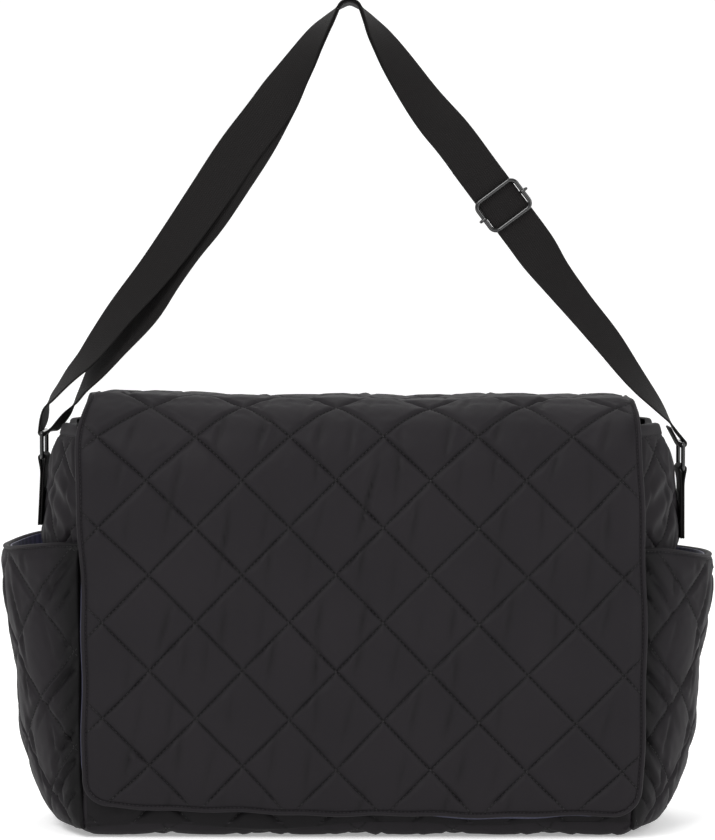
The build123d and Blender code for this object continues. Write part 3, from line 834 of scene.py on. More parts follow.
# ---- Where the panels lie ----------------------------------------------------------------------
ARC = FLAP_BEND * pi / 2
DROP = FLAP_TOP - FLAP_BEND - FLAP_HEM              # straight front of the flap
TOP_START = DROP + ARC
TOP_END = TOP_START + 2 * (FLAP_FACE - FLAP_BEND)
REAR_START = TOP_END + ARC
FLAP_END = REAR_START + FLAP_TOP - FLAP_BEND - FLAP_REAR_SEAM
FLAP_CUT = TOP_START - radians(FLAP_CUT_ANGLE) * FLAP_BEND
FLAP_NODE = (-14.5, 249.0 - FLAP_HEM)
FLAP_SPAN = (FLAP_X - FLAP_HALF, FLAP_X + FLAP_HALF)


def over_flap(u, v, h):
    """The flap: u is X, v runs from the front hem over the top to the rear seam."""
    bend_y, bend_z = FLAP_FACE - FLAP_BEND, FLAP_TOP - FLAP_BEND
    h = h + 0.9 * ripple(u, v, 75, 31) * smooth(v, 5, 60) * smooth(FLAP_END - v, 5, 60)
    # the top sinks except at its left end, and the bend over the front lies slack
    sunk = smooth(v, TOP_START - 50, TOP_START) * smooth(REAR_START - v, 0, 40)
    h = h - (3.8 * smooth(u, -170, -80) - 0.6) * sunk
    h = h - 2.6 * smooth(v, DROP - 25, DROP + 15) * smooth(TOP_START - v, 0, 18)
    front = np.clip((v - DROP) / FLAP_BEND, 0, pi / 2)
    rear = np.clip((v - TOP_END) / FLAP_BEND, 0, pi / 2)
    r = FLAP_BEND + h
    flat = np.clip(v - TOP_START, 0, TOP_END - TOP_START)
    behind = np.where(v < TOP_END, -bend_y + flat, bend_y + r * np.sin(rear))
    y = np.where(v < TOP_START, -bend_y - r * np.cos(front), behind)
    z = np.where(v < TOP_START, bend_z + r * np.sin(front), bend_z + r * np.cos(rear))
    z = z + np.minimum(v - DROP, 0) - np.maximum(v - REAR_START, 0)
    # the sides draw in and flare, the cloth droops to the right and the hem hangs unevenly
    side = (u - FLAP_X) / FLAP_HALF
    left, right = smooth(-side, 0.55, 1), smooth(side, 0.55, 1)
    bow = np.sin(pi * np.clip(v / DROP, 0, 1))
    top = smooth(v, DROP + 20, TOP_START) * smooth(-v, -REAR_START, -TOP_END + 20)
    flare = 3.6 * np.exp(-(((v - 235) / 60) ** 2))
    x = u + left * (0.8 * bow + 3.0 * top - flare + 0.5 * np.sin(v / 11))
    x = x + smooth(side, 0.15, 1) * (1.4 + 3.4 * bow) - right * (2.0 * top + 0.5 * np.sin(v / 13 + 1))
    z = z - 2.8 * smooth(side, 0.1, 0.8) * bow
    z = z - (3.2 + 2.4 * smooth(u, -100, 40)) * smooth(DROP - v, 70, DROP)
    hem = smooth(DROP - v, 150, DROP)
    z = z + hem * (5.0 * smooth(-side, 0.45, 1.0) + 0.7 * np.sin(u / 19) + 0.4 * np.sin(u / 7.3))
    return np.stack([x, y, z], -1)


def over_flap_lining(u, v, h):
    """The flap's lining: a little past the flap's edge at the left and at the hem, short of it elsewhere."""
    points = over_flap(u, v, h - 5.75)
    side = (u - FLAP_X) / FLAP_HALF
    peep = 2.3 * smooth(DROP - v, 40, 90) * smooth(v, 10, 30)
    points[..., 0] -= smooth(-side, 0.94, 1.0) * (peep - 1.2)
    points[..., 0] += smooth(side, 0.94, 1.0) * -1.4
    show = 3.2 * smooth(u, 20, 60) * smooth(-u, -172, -158) - 1.0
    points[..., 2] -= smooth(-v, -14, 0) * (show + 0.4 * ripple(u, v, 30, 8))
    return points


def end_limit(y):
    """Height that the flap's bends leave above the body at this depth."""
    reach = FLAP_BEND - PANEL - 2.4
    off = np.clip(abs(y) - (FLAP_FACE - FLAP_BEND), 0, reach - 0.5)
    return FLAP_TOP - FLAP_BEND + np.sqrt(reach**2 - off**2)


def round_corners(u, v):
    """Moves a grid's lower corners onto the flap's rounded outline."""
    outline = Panel(over_flap, FLAP_SPAN, (0.0, FLAP_CUT), (), FLAP_NODE, None, corner=FLAP_CORNER)
    return outline.rounded(u, v)


SIDE_HALF = 86.0                        # half the cloth's way round a gusset
POCKET_HALF = 102.0                     # and round a pocket, which is cut fuller
GUSSET_TOP, POCKET_TOP = 283.0, 197.0
DRAWN_IN = 225.0                        # above this the gussets are drawn in under the flap's bends
GUSSET_NODE = (-57.0, 199.0)            # where quilting lines cross, on each cloth
POCKET_NODES = {-1: (-65.0, 161.0), 1: (-58.0, 166.0)}


def over_side(profile, side, edge, folds, flare=0.0, rim=None, half=SIDE_HALF):
    """A bulging side wall: u is the way round from its middle, positive to the back, and v is Z.

    profile gives the bulge at some heights, edge is X at the seams, flare opens the rim outwards, folds and
    rim move the cloth out and its mouth up, and half is half the cloth's way round."""
    heights, bulges = np.array(profile, float).T

    def place(u, v, h):
        # soft profile between the given stations
        z_all = np.linspace(heights[0], heights[-1], 140)
        line = np.interp(z_all, heights, bulges)
        for _ in range(20):
            line[1:-1] = (line[:-2] + 2 * line[1:-1] + line[2:]) / 4
        bulge = np.interp(v, z_all, line)
        bulge = bulge + flare * smooth(v, heights[-1] - 30, heights[-1]) * smooth(abs(u), 20, 40)
        chord = (BACK_Y - FRONT_Y) / 2
        sag = bulge - edge
        radius = (chord**2 + sag**2) / (2 * sag)
        widest = np.arcsin(chord / radius)
        widest = np.where(sag > chord, pi - widest, widest)
        turn = u / half * widest
        h = h + folds(u, v)
        x = side * (bulge - radius + (radius + h) * np.cos(turn))
        y = MID_Y + (radius + h) * np.sin(turn)
        # the rim stays under the flap, and rises a little where it comes out beside it
        clear = smooth(abs(x), edge + 3, edge + 9) * smooth(abs(u), 20, 40)
        top = np.minimum(end_limit(y) + 30 * clear, GUSSET_TOP + 3.5 * clear)
        limited = DRAWN_IN + (v - DRAWN_IN) * (top - DRAWN_IN) / (GUSSET_TOP - DRAWN_IN)
        z = np.where(v > DRAWN_IN, limited, v)
        if rim:
            z = z + rim(u, side) * smooth(v, 110, heights[-1])
        return np.stack([x, y, z], -1)
    return place


def gusset_folds(u, v):
    """Slanting drag lines from the tab down to the seams."""
    slant = v + abs(u) * 0.5 + 2.5 * ripple(u, v, 40, 12)
    band = smooth(abs(u), 14, 40) * smooth(v, 195, 215) * smooth(-v, -262, -240)
    return 1.2 * np.sin(2 * pi * slant / 19) * band + 0.8 * ripple(u, v, 40, 14)


# Folds beside a pocket's front and back seams: height at the seam, run along the cloth, depth and half width
POCKET_FOLDS = [(189, 46, 2.6, 3.4), (171, 30, 2.2, 2.4), (143, 26, 1.8, 2.6), (124, 50, 3.2, 3.2),
                (101, 26, 2.0, 2.4), (78, 34, 2.6, 3.0), (59, 44, 3.0, 3.2), (38, 26, 2.2, 2.6)]


def pocket_folds(u, v):
    """Drag folds that run down and out from the seams, and a loose middle."""
    away = POCKET_HALF - abs(u)
    total = 1.1 * ripple(u, v, 45, 23)
    for height, run, deep, half in POCKET_FOLDS:
        off = v - height + away * (0.95 + 0.004 * away) + 1.5 * ripple(u, v, 40, height)
        fade = smooth(away, 1, 8) * smooth(-away, -run, -0.4 * run) * smooth(v, 8, 20)
        ridge = 0.5 * np.exp(-(((off - 2.2 * half) / (1.6 * half)) ** 2))
        total = total + fade * deep * (ridge - np.exp(-((off / half) ** 2)))
    return total


def foot_shade(u, v):
    """Painted shade along the foot of the walls, under the flap's hem."""
    return 0.6 * smooth(-v, -70, -40)


def pocket_shade(u, v):
    """Painted shade in the folds and on the cloth that falls away beside the flap."""
    folded = np.clip(-pocket_folds(u, v) / 3.0 - 0.15, 0, 1)
    return np.maximum(folded, 0.95 * smooth(abs(u), 72, 98))


def behind_folds(u, v):
    """Where the pocket's lining lies: clear of the folds in the cloth before it."""
    return np.minimum(pocket_folds(u, v), 0) - 3.2 * smooth(abs(u), 42, 78)


def pocket_rim(u, side):
    """The pocket's mouth rises towards its seams; the right one hangs lower at its corner."""
    if side < 0:
        return 2 + 6.5 * smooth(-u, 18, 95) + 5 * smooth(u, 10, 70)
    return -4 + 9 * smooth(-u, 18, 95) + smooth(u, 35, 95)


SNAP_X, SNAP_Z = 110.0, 60.0            # the snaps, from the middle and from the floor


def over_wall(y, side):
    """A flat upright wall: u is X, v is Z, and side is -1 in front and 1 behind."""
    def place(u, v, h):
        bow = 1.0 * ripple(u, v, 80, 41 + side) * smooth(v, 10, 60)
        if side < 0:
            # the cloth is drawn in round each snap
            off = np.hypot(abs(u) - SNAP_X, v - SNAP_Z)
            inside = smooth(-off, -24, -8)
            h = h * (1 - inside) - 0.9 * inside
            bow = bow * (1 - inside)
        wave = (2.0 + 1.6 * np.sin(u / 23 + 1) + 1.2 * np.sin(u / 57)) * smooth(-v, -40, -6)
        return np.stack([u, np.full_like(u, y) + side * (h + bow), v + wave], -1)
    return place


FOOT_REACH = 214.0                      # the bottom panel's half length at its middle


def end_reach(y):
    """How far the bowed ends of the bottom panel reach at this depth."""
    chord, sag = (BACK_Y - FRONT_Y) / 2, FOOT_REACH - HALF_WIDTH
    radius = (chord**2 + sag**2) / (2 * sag)
    return FOOT_REACH - radius + np.sqrt(np.maximum(radius**2 - np.minimum(abs(y - MID_Y), chord) ** 2, 0))


def under_bag(u, v, h):
    """The bottom panel: u is X and v is Y, its outer face downwards, curling up to the seams all round."""
    x = u * end_reach(v) / HALF_WIDTH
    nearest = np.minimum(np.minimum(v - FRONT_Y, BACK_Y - v), HALF_WIDTH - abs(u))
    inset = np.clip(nearest / 13, 0, 1)
    curl = 9.0 * (1 - np.sin(inset * pi / 2))
    z = 2.8 + curl * 0.9 - h * (1 - 0.7 * smooth(curl, 2, 8))
    y = v + np.where(v < MID_Y, -1, 1) * (3.0 * np.sin(inset * pi))
    return np.stack([x, y, np.maximum(z, 0.05)], -1)


BAND_BEND, BAND_TOP = 255.0, 281.0      # the mouth's facing gives way to the flap above its bend


def mouth_plan(u, shrink, bulge=192.0, edge=180.5, front=-64.7, back=66.6):
    """Straight front and back with bowed ends, once round for u from 0 to 1: x, y and the outward normal."""
    chord, mid = (back - front) / 2, (back + front) / 2
    sag = bulge - edge
    radius = (chord**2 + sag**2) / (2 * sag)
    angle = np.arcsin(chord / radius)
    lengths = np.array([2 * edge, 2 * radius * angle, 2 * edge, 2 * radius * angle])
    marks = np.concatenate([[0], np.cumsum(lengths)])
    at = (u % 1.0) * marks[-1]
    part = np.clip(np.searchsorted(marks, at, side="right") - 1, 0, 3)
    t = (at - marks[part]) / lengths[part]
    turn = (2 * t - 1) * angle
    across, along, none, one = np.cos(turn), np.sin(turn), np.zeros_like(t), np.ones_like(t)
    reach = bulge - radius + radius * across
    x = np.choose(part, [edge * (2 * t - 1), reach, edge * (1 - 2 * t), -reach])
    y = np.choose(part, [front * one, mid + radius * along, back * one, mid - radius * along])
    nx = np.choose(part, [none, across, none, -across])
    ny = np.choose(part, [-one, along, one, -along])
    return x - nx * shrink, y - ny * shrink, nx, ny


def shell(name, place, us, vs, thickness, material, wrap=False):
    """A thin closed cloth over a grid, from its outer face to thickness mm inside it."""
    u, v = np.meshgrid(us, vs)
    rows, columns = u.shape
    outer = place(u.ravel(), v.ravel(), np.zeros(u.size))
    inner = place(u.ravel(), v.ravel(), np.full(u.size, -thickness))
    index = np.arange(u.size).reshape(rows, columns)
    right = np.roll(index, -1, axis=1) if wrap else index[:, 1:]
    left = index if wrap else index[:, :-1]
    quads = np.stack([left[:-1], right[:-1], right[1:], left[1:]], -1).reshape(-1, 4)
    faces = np.concatenate([quads, quads[:, ::-1] + u.size]).tolist()
    if wrap:
        rims = [index[0], index[-1, ::-1]]
    else:
        rims = [np.concatenate([index[0, :], index[1:, -1], index[-1, -2::-1], index[-2:0:-1, 0]])]
    for rim in rims:
        after = np.roll(rim, -1)
        faces += np.stack([rim + u.size, after + u.size, after, rim], 1).tolist()
    along = np.linalg.norm(np.diff(outer.reshape(rows, columns, 3)[0], axis=0), axis=1).sum()
    flat = np.stack([(u.ravel() - us[0]) / (us[-1] - us[0]) * along, v.ravel()], 1)
    points = np.concatenate([outer, inner])
    return new_object(name, points, faces, np.concatenate([flat, flat]), None, material)


def hold(obj, body, nodes):
    """obj moves with a body and stands for its CAD nodes."""
    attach(obj, body)
    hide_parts(*nodes)
    return obj


# Over the flap's two hinge lines and across the strap's fold line, in metres; no piece built here bends about
# them
LIFT = {"start": (0, 0.004, 0.3055), "end": (0, -0.034, 0.3055)}
FOLD = {"start": (0, -0.0479, 0.3079), "end": (0, -0.0819, 0.2739)}


# ---- Settings ----------------------------------------------------------------------------------
class BagQuilt(bpy.types.PropertyGroup):
    """How the quilted cloth is filled and sewn."""
    loft: FloatProperty(
        name="Loft", description="Height of the filling between the lines when it isn't simulated, in mm",
        default=2.6, min=0.5, max=6)
    slack_across: FloatProperty(
        name="Slack across", description="How much wider the cloth is cut than its backing",
        default=0.08, min=0, max=0.2)
    slack_along: FloatProperty(
        name="Slack along", description="How much longer the cloth is cut than its backing",
        default=0.012, min=0, max=0.2)
    pressure: FloatProperty(
        name="Filling", description="Push of the wadding on the cloth", default=3.0, min=0, max=20)
    frames: IntProperty(
        name="Frames", description="Frames that the cloth takes to settle", default=45, min=5, max=250)
    seed: IntProperty(
        name="Seed", description="Which of the possible wrinkle layouts is used", default=7, min=0)
    stitch: FloatProperty(
        name="Stitch", description="Length of the longest stitch, in mm", default=2.5, min=0.5, max=6)
    thread: FloatProperty(
        name="Thread", description="Thickness of the sewing thread, in mm", default=0.42, min=0.1, max=2)
    uneven: FloatProperty(
        name="Uneven", description="How much shorter the shortest stitch is", default=0.2, min=0, max=0.9)


def colour(name, description, code):
    """A colour that the user can change, with an sRGB hex value as its default."""
    return FloatVectorProperty(name=name, description=description, default=linear(code)[:3], size=3, min=0,
                               max=1, subtype="COLOR")


class BagColours(bpy.types.PropertyGroup):
    """Colours of the cloths, the thread and the fittings."""
    nylon_dark: colour("Nylon, dark", "Darker patches of the quilted nylon", "#141215")
    nylon_pale: colour("Nylon, pale", "Paler patches of the quilted nylon", "#1C191C")
    # painted shade: the colour that the creases, the foot of the walls and the pocket sides are darkened
    # towards
    fold: colour("Folds", "Sharp folds in the nylon", "#030303")
    # painted shade: the colour that the grooves along the quilting lines are darkened towards
    seam: colour("Seams", "Quilting lines in the nylon", "#040404")
    navy: colour("Flap lining", "Ground of the flap's lining", "#2E2E47")
    navy_stripe: colour("Flap lining, stripe", "Stripes of the flap's lining", "#33334D")
    inside: colour("Bag lining", "Ground of the bag's and the pockets' lining", "#2C2C46")
    inside_stripe: colour("Bag lining, stripe", "Stripes of the bag's and the pockets' lining", "#424163")
    # painted light and shade: the webbing's hollows are painted dark and the crowns of its ribs pale
    webbing_dark: colour("Webbing, dark", "Hollows between the ribs of the webbing", "#080707")
    webbing_pale: colour("Webbing, pale", "Crowns of the ribs of the webbing", "#1A1818")
    wire: colour("Wire", "Enamel of the rings and of the buckle", "#0E0E0F")
    snap: colour("Snaps", "Metal of the snaps", "#3A3A3E")
    board: colour("Board", "Plastic of the base board", "#4A4A4C")
    thread_dark: colour("Thread, dark", "Darker lengths of the thread", "#121112")
    thread_pale: colour("Thread, pale", "Paler lengths of the thread", "#242224")


class BagStage(bpy.types.PropertyGroup):
    """Camera and light."""
    distance: FloatProperty(
        name="Distance", description="From the camera to the bag's middle", default=2.2, unit="LENGTH")
    elevation: FloatProperty(
        name="Elevation", description="How far the camera looks down", default=radians(3.0), subtype="ANGLE")
    lens: FloatProperty(name="Lens", description="Focal length for a 36 mm sensor, in mm", default=132.8)
    key_power: FloatProperty(
        name="Key light", description="Power of the large soft light", default=62.0, unit="POWER")


class BAG_OT_flap(bpy.types.Operator):
    """Quilted flap in two covers that meet on top, with its stitches"""
    bl_idname = "bag.flap"
    bl_label = "Flap"
    bl_options = {"REGISTER", "UNDO"}

    def execute(self, context):
        spans = (("front", (0.0, FLAP_CUT), ("roll", "roll", "roll", "cut"), ["flap_top", "flap_front"],
                  ("flap_top", "flap_front"), FOLD, FLAP_CORNER),
                 ("rear", (FLAP_CUT, FLAP_END), ("roll", "roll", "cut", "seam"), ["flap_rear"],
                  ("bag", "flap_top"), LIFT, 0.0))
        for name, span, edges, nodes, bodies, line, corner in spans:
            panel = Panel(over_flap, FLAP_SPAN, span, edges, FLAP_NODE, quilt(), corner=corner)
            cover = panel.build(f"flap_cover_{name}", cloth("nylon"))
            threads = sew(f"flap_stitches_{name}",
                          [panel.stitches(PITCH), panel.border_stitches(BORDER_PITCH)], 11)
            for obj in (cover, threads):
                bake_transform(obj)
            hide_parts(*nodes)
        return {"FINISHED"}


class BAG_OT_flap_lining(bpy.types.Operator):
    """Navy lining behind the flap"""
    bl_idname = "bag.flap_lining"
    bl_label = "Flap lining"
    bl_options = {"REGISTER", "UNDO"}

    def execute(self, context):
        spans = (("front", (1.0, FLAP_CUT), ["flap_top_lining", "flap_front_lining"],
                  ("flap_top", "flap_front"), FOLD),
                 ("rear", (FLAP_CUT, FLAP_END - 1), ["flap_rear_lining"], ("bag", "flap_top"), LIFT))
        for name, (low, high), nodes, bodies, line in spans:
            us = np.linspace(FLAP_SPAN[0] + 0.4, FLAP_SPAN[1] - 0.4, 120)
            vs = np.linspace(low, high, int((high - low) / 3.5))

            def place(u, v, h):
                if name == "rear":
                    return over_flap_lining(u, v, h)
                return over_flap_lining(*round_corners(u, v), h)
            lining = shell(f"flap_lining_{name}", place, us, vs, 0.8, cloth("navy"))
            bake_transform(lining)
            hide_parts(*nodes)
        return {"FINISHED"}


class BAG_OT_walls(bpy.types.Operator):
    """Quilted front, back and bottom panels"""
    bl_idname = "bag.walls"
    bl_label = "Walls"
    bl_options = {"REGISTER", "UNDO"}

    def execute(self, context):
        width, height = (-HALF_WIDTH, HALF_WIDTH), (SEAM_Z, WALL_TOP)
        pieces = (("front_wall", over_wall(FRONT_Y, -1), height, (-6.0, 29.0), ["front_panel"]),
                  ("back_wall", over_wall(BACK_Y, 1), height, (10.0, 40.0), ["back_panel"]),
                  ("bottom_wall", under_bag, (FRONT_Y, BACK_Y), (0.0, 0.0), ["bottom_panel"]))
        for name, place, v_range, node, nodes in pieces:
            # the front and back walls get painted shade along their foot
            panel = Panel(place, width, v_range, ("seam",) * 4, node, quilt(),
                          shade=foot_shade if v_range == height else None)
            wall = hold(panel.build(name, cloth("nylon")), "bag", nodes)
            threads = sew(name.replace("wall", "stitches"), [panel.stitches(PITCH, margin=4.0)], 21)
            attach(threads, "bag")
        return {"FINISHED"}


class BAG_OT_sides(bpy.types.Operator):
    """Quilted gussets and the side pockets on them"""
    bl_idname = "bag.sides"
    bl_label = "Sides"
    bl_options = {"REGISTER", "UNDO"}

    def execute(self, context):
        for side, word in ((-1, "left"), (1, "right")):
            around = over_side(GUSSETS[side], side, HALF_WIDTH, gusset_folds, flare=4.5)
            gusset = Panel(around, (-SIDE_HALF, SIDE_HALF), (SEAM_Z, GUSSET_TOP),
                           ("seam", "seam", "seam", "hem"), GUSSET_NODE, quilt())
            around = over_side(POCKET, side, HALF_WIDTH + 4, pocket_folds, rim=pocket_rim, half=POCKET_HALF)
            # the pocket gets painted shade in its folds and beside its seams
            pocket = Panel(around, (-POCKET_HALF, POCKET_HALF), (SEAM_Z, POCKET_TOP),
                           ("seam", "seam", "seam", "welt"), POCKET_NODES[side], quilt(), thickness=4.8,
                           shade=pocket_shade)
            for name, panel in (("gusset", gusset), ("pocket", pocket)):
                obj = hold(panel.build(f"{name}_cover_{word}", cloth("nylon")), "bag", [f"{name}_{word}"])
                threads = sew(f"{name}_stitches_{word}",
                              [panel.stitches(PITCH, 3.0), panel.border_stitches(BORDER_PITCH)], 31)
                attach(threads, "bag")
        return {"FINISHED"}


class BAG_OT_linings(bpy.types.Operator):
    """Striped lining of the bag and of the side pockets, and the nylon facing of the mouth"""
    bl_idname = "bag.linings"
    bl_label = "Linings"
    bl_options = {"REGISTER", "UNDO"}

    def execute(self, context):
        for side, word in ((-1, "left"), (1, "right")):
            around = over_side([(z, b - 5.6) for z, b in POCKET], side, HALF_WIDTH - 1, behind_folds,
                               rim=pocket_rim, half=POCKET_HALF)
            us = np.linspace(9 - POCKET_HALF, POCKET_HALF - 9, 80)
            vs = np.linspace(12.0, POCKET_TOP - 1, 70)
            inner = shell(f"pocket_inside_{word}", around, us, vs, 0.9, cloth("print"))
            hold(inner, "bag", [f"pocket_lining_{word}"])

        def bag_wall(u, v, h):
            on_floor = np.clip(-v / 64.0, 0, 1)
            x, y, nx, ny = mouth_plan(u, 0.0)
            soft = 1.2 * ripple(x + y, v, 60, 51) * smooth(v, 5, 60)
            inward = np.where(v > 0, h + soft - 1.5, 0)
            keep = np.where(v > 0, 1.0, 1 - 0.985 * on_floor)
            lift = np.where(v > 0, 0, -h)
            return np.stack([(x + nx * inward) * keep, MID_Y + (y - MID_Y + ny * inward) * keep,
                             10.2 + np.maximum(v, 0) + lift], -1)
        round_bag = np.linspace(0, 1, 260, endpoint=False)
        vs = np.concatenate([np.linspace(-64, -4, 10), np.linspace(0, 236, 60)])
        lining = shell("bag_inside", bag_wall, round_bag, vs, 0.9, cloth("print"), wrap=True)
        hold(lining, "bag", ["lining"])

        def band_wall(u, v, h):
            x, y, nx, ny = mouth_plan(u, 1.2)
            top = np.minimum(end_limit(y) - 1.5, BAND_TOP)
            limited = BAND_BEND + (v - BAND_BEND) * (top - BAND_BEND) / (BAND_TOP - BAND_BEND)
            z = np.where(v > BAND_BEND, limited, v)
            out = h + 0.5 * ripple(x + y, v, 30, 52)
            return np.stack([x + nx * out, y + ny * out, z], -1)
        band = shell("mouth_band", band_wall, round_bag, np.linspace(244, BAND_TOP, 14), 1.0, cloth("nylon"),
                     wrap=True)
        hold(band, "bag", ["mouth_facing"])
        return {"FINISHED"}


class BAG_OT_webbing(bpy.types.Operator):
    """Webbing of the shoulder strap and of the ring tabs"""
    bl_idname = "bag.webbing"
    bl_label = "Webbing"
    bl_options = {"REGISTER", "UNDO"}

    def execute(self, context):
        web = cloth("webbing")
        bar = (RINGS[-1][0], RINGS[-1][1] + BAR_DROP)
        front, front_n = route(LEG_LEFT_FRONT + ARCH_LEFT_FRONT + ARCH_TOP + ARCH_SLIDE, 1)
        under, under_n = route(LEG_LEFT_BACK + ARCH_LEFT_BACK + ARCH_TOP + ARCH_END, -1)
        fold, fold_n = arc(bar, HOLD, 168, 348)
        points = np.concatenate([front[::-1], fold, under])
        normals = np.concatenate([front_n[::-1], fold_n, -under_n])
        line = eased(np.concatenate([points, normals * 100], 1), 1.8, 4)
        strap = ribbon("strap_double", line[:, :3], unit(line[:, 3:]), web)
        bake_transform(strap)
        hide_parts("strap_end_left", "strap_leg_left_front", "strap_leg_left_back", "strap_arch_back",
                    "strap_arch_front")
        bar = (RINGS[1][0], RINGS[1][1] + BAR_DROP)
        up_right = np.array([sin(radians(-28)), 0, cos(radians(-28))])
        down, down_n = route(ARCH_RIGHT + LEG_RIGHT, 1)
        fold, fold_n = arc(bar, HOLD, 388, 208)
        tail = fold[-1] + np.outer(np.linspace(1, 14, 8), up_right)
        points = np.concatenate([down, fold, tail])
        normals = np.concatenate([down_n, fold_n, np.repeat(fold_n[-1:], len(tail), 0)])
        line = eased(np.concatenate([points, normals * 100], 1), 1.8, 3)
        single = ribbon("strap_single", line[:, :3], unit(line[:, 3:]), web)
        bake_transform(single)
        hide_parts("strap_leg_right", "strap_end_right")
        for side, word, foot_x, foot_z in ((-1, "left", 223.7, 213.0), (1, "right", 228.9, 203.4)):
            bar = (RINGS[side][0], RINGS[side][1] - BAR_DROP)
            angles = (180, 0) if side > 0 else (0, 180)
            over, over_n = arc(bar, HOLD, *angles)
            inner = np.array([foot_x * side, 0, foot_z])
            outer = np.array([(foot_x + WEB + 0.3) * side, 0, foot_z])
            rise = np.linspace(0, 1, 22)[:, None]
            pinch = np.array([bar[0], 0, bar[1] - 9.0])
            legs = []
            for foot, end, out in ((inner, over[0], -0.8), (outer, over[-1], 0.8)):
                neck = pinch + np.array([side * out, 0, 0])
                low, high = np.clip(rise / 0.8, 0, 1), (rise - 0.8) / 0.2
                legs.append(np.where(rise < 0.8, foot + (neck - foot) * low, neck + (end - neck) * high))
            points = np.concatenate([legs[0][:-1], over, legs[1][-2::-1]])
            side_n = np.array([[-side, 0, 0.0]])
            normals = np.concatenate([np.repeat(side_n, 21, 0), over_n, np.repeat(-side_n, 21, 0)])
            line = eased(np.concatenate([points, normals * 100], 1), 1.2, 3)
            tab = ribbon(f"tab_webbing_{word}", line[:, :3], unit(line[:, 3:]), web)
            hold(tab, "bag", [f"tab_{word}"])
        return {"FINISHED"}


class BAG_OT_buckle(bpy.types.Operator):
    """Webbing sewn round the slide buckle's loose bar"""
    bl_idname = "bag.buckle"
    bl_label = "Buckle loop"
    bl_options = {"REGISTER", "UNDO"}

    def execute(self, context):
        up, across = np.array([-0.6, 0, 0.8]), np.array([0.8, 0, 0.6])
        wrap = BAR_RADIUS + 0.1 + WEB / 2
        bar_y = PLY + wrap
        a = np.radians(np.linspace(180, 360, 13))
        ys = np.concatenate([[bar_y - wrap] * 2, bar_y + wrap * np.cos(a), [PLY + 1.6, PLY + 1.6]])
        zs = np.concatenate([[6.0, 3.0], wrap * np.sin(a), [22.0, 40.0]])
        line = eased(np.stack([ys, zs], 1), 1.0, 4)
        middle = np.array([SLIDER[0], 0, SLIDER[1]])
        points = middle + np.outer(line[:, 1], up) + np.outer(line[:, 0], [0, 1, 0])
        normals = np.cross(across, np.gradient(points, axis=0))
        loop = ribbon("buckle_webbing", points, unit(normals), cloth("webbing"))
        hold(loop, "slider_bar", ["strap_bar_loop"])
        return {"FINISHED"}


class BAG_OT_fittings(bpy.types.Operator):
    """Finish of the rings, the buckle, the snaps and the base board"""
    bl_idname = "bag.fittings"
    bl_label = "Fittings"
    bl_options = {"REGISTER", "UNDO"}

    def execute(self, context):
        finishes = {"wire": ["ring_left", "ring_right", "slider_frame", "slider_bar"],
                    "nickel": ["snap_socket_left", "snap_socket_right", "snap_stud_left", "snap_stud_right"],
                    "board": ["base_board"]}
        for finish, nodes in finishes.items():
            for node in nodes:
                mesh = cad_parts[node].data
                mesh.materials.clear()
                mesh.materials.append(cloth(finish))
        return {"FINISHED"}


LOOK_AT = 0.2865                        # height that the camera looks at, in metres


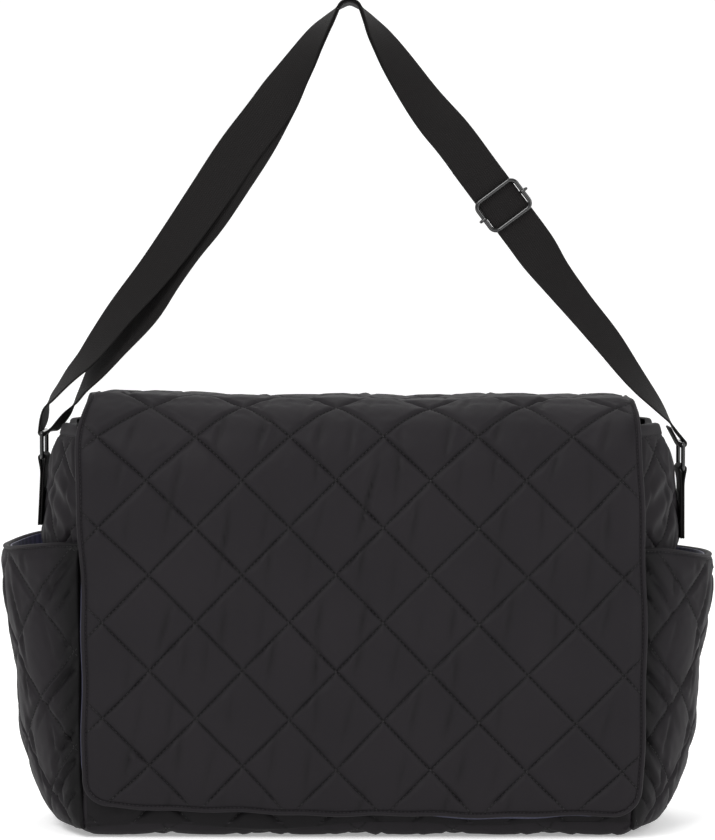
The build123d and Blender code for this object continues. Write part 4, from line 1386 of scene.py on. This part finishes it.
class BAG_OT_stage(bpy.types.Operator):
    """Pale floor, soft light and the camera"""
    bl_idname = "bag.stage"
    bl_label = "Stage"
    bl_options = {"REGISTER", "UNDO"}

    def execute(self, context):
        scene = context.scene
        given = scene.bag_stage
        floor_mesh = bpy.data.meshes.new("floor")
        # flat floor, then a quarter round up to a wall far behind
        bend = [(3.0 + 2 * sin(a), 2 - 2 * cos(a)) for a in np.linspace(0.1, pi / 2, 14)]
        sweep = [(-6.0, 0.0), (3.0, 0.0), *bend, (5.0, 6.0)]
        floor_mesh.from_pydata([(x, float(y), float(z)) for y, z in sweep for x in (-8, 8)], [],
                               [(2 * i, 2 * i + 1, 2 * i + 3, 2 * i + 2) for i in range(len(sweep) - 1)])
        floor_mesh.shade_smooth()
        floor_mesh.materials.append(cloth("floor"))
        floor = bpy.data.objects.new("floor", floor_mesh)
        scene.collection.objects.link(floor)
        world = bpy.data.worlds.new("studio")
        world.use_nodes = True
        world.node_tree.nodes["Background"].inputs[0].default_value = linear("#FFFFFF")
        world.node_tree.nodes["Background"].inputs[1].default_value = 0.5
        scene.world = world
        lights = (("key", (-1.3, -1.9, 2.3), 1.6, 1.0), ("fill", (1.9, -1.5, 1.2), 1.8, 0.4),
                  ("top", (0.1, 0.5, 2.4), 1.4, 0.25))
        for name, place, size, share in lights:
            lamp = bpy.data.lights.new(name, "AREA")
            lamp.size = size
            lamp.energy = given.key_power * share
            obj = bpy.data.objects.new(name, lamp)
            obj.location = place
            aim = Vector((0, 0, 0.25)) - Vector(place)
            obj.rotation_euler = aim.to_track_quat("-Z", "Y").to_euler()
            scene.collection.objects.link(obj)
        camera = bpy.data.objects.new("camera", bpy.data.cameras.new("camera"))
        camera.data.lens = given.lens
        camera.data.sensor_width = 36
        back, up = given.distance * cos(given.elevation), given.distance * sin(given.elevation)
        camera.location = (0, -back, LOOK_AT + up)
        camera.rotation_euler = (pi / 2 - given.elevation, 0, 0)
        scene.collection.objects.link(camera)
        scene.camera = camera
        scene.view_settings.view_transform = "Standard"
        return {"FINISHED"}


class BAG_PT_sidebar(bpy.types.Panel):
    """The bag's pieces and settings"""
    bl_idname = "BAG_PT_sidebar"
    bl_label = "Changing bag"
    bl_space_type = "VIEW_3D"
    bl_region_type = "UI"
    bl_category = "Bag"

    def draw(self, context):
        for step in STEPS:
            self.layout.operator(step)
        for group in (context.scene.bag_quilt, context.scene.bag_colours, context.scene.bag_stage):
            for key in group.bl_rna.properties.keys():
                if key not in ("rna_type", "name"):
                    self.layout.prop(group, key)


STEPS = ["bag.flap", "bag.flap_lining", "bag.walls", "bag.sides", "bag.linings", "bag.webbing", "bag.buckle",
         "bag.fittings", "bag.stage"]
CLASSES = (BagQuilt, BagColours, BagStage, BAG_OT_flap, BAG_OT_flap_lining, BAG_OT_walls, BAG_OT_sides,
           BAG_OT_linings, BAG_OT_webbing, BAG_OT_buckle, BAG_OT_fittings, BAG_OT_stage, BAG_PT_sidebar)


def register():
    for cls in CLASSES:
        bpy.utils.register_class(cls)
    bpy.types.Scene.bag_quilt = PointerProperty(type=BagQuilt)
    bpy.types.Scene.bag_colours = PointerProperty(type=BagColours)
    bpy.types.Scene.bag_stage = PointerProperty(type=BagStage)


def unregister():
    del bpy.types.Scene.bag_stage
    del bpy.types.Scene.bag_colours
    del bpy.types.Scene.bag_quilt
    for cls in reversed(CLASSES):
        bpy.utils.unregister_class(cls)


def main():
    register()
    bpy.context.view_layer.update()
    for step in STEPS:
        group, name = step.split(".")
        if getattr(getattr(bpy.ops, group), name)() != {"FINISHED"}:
            raise RuntimeError(f"{step} didn't finish")


if __name__ == "__main__":
    main()
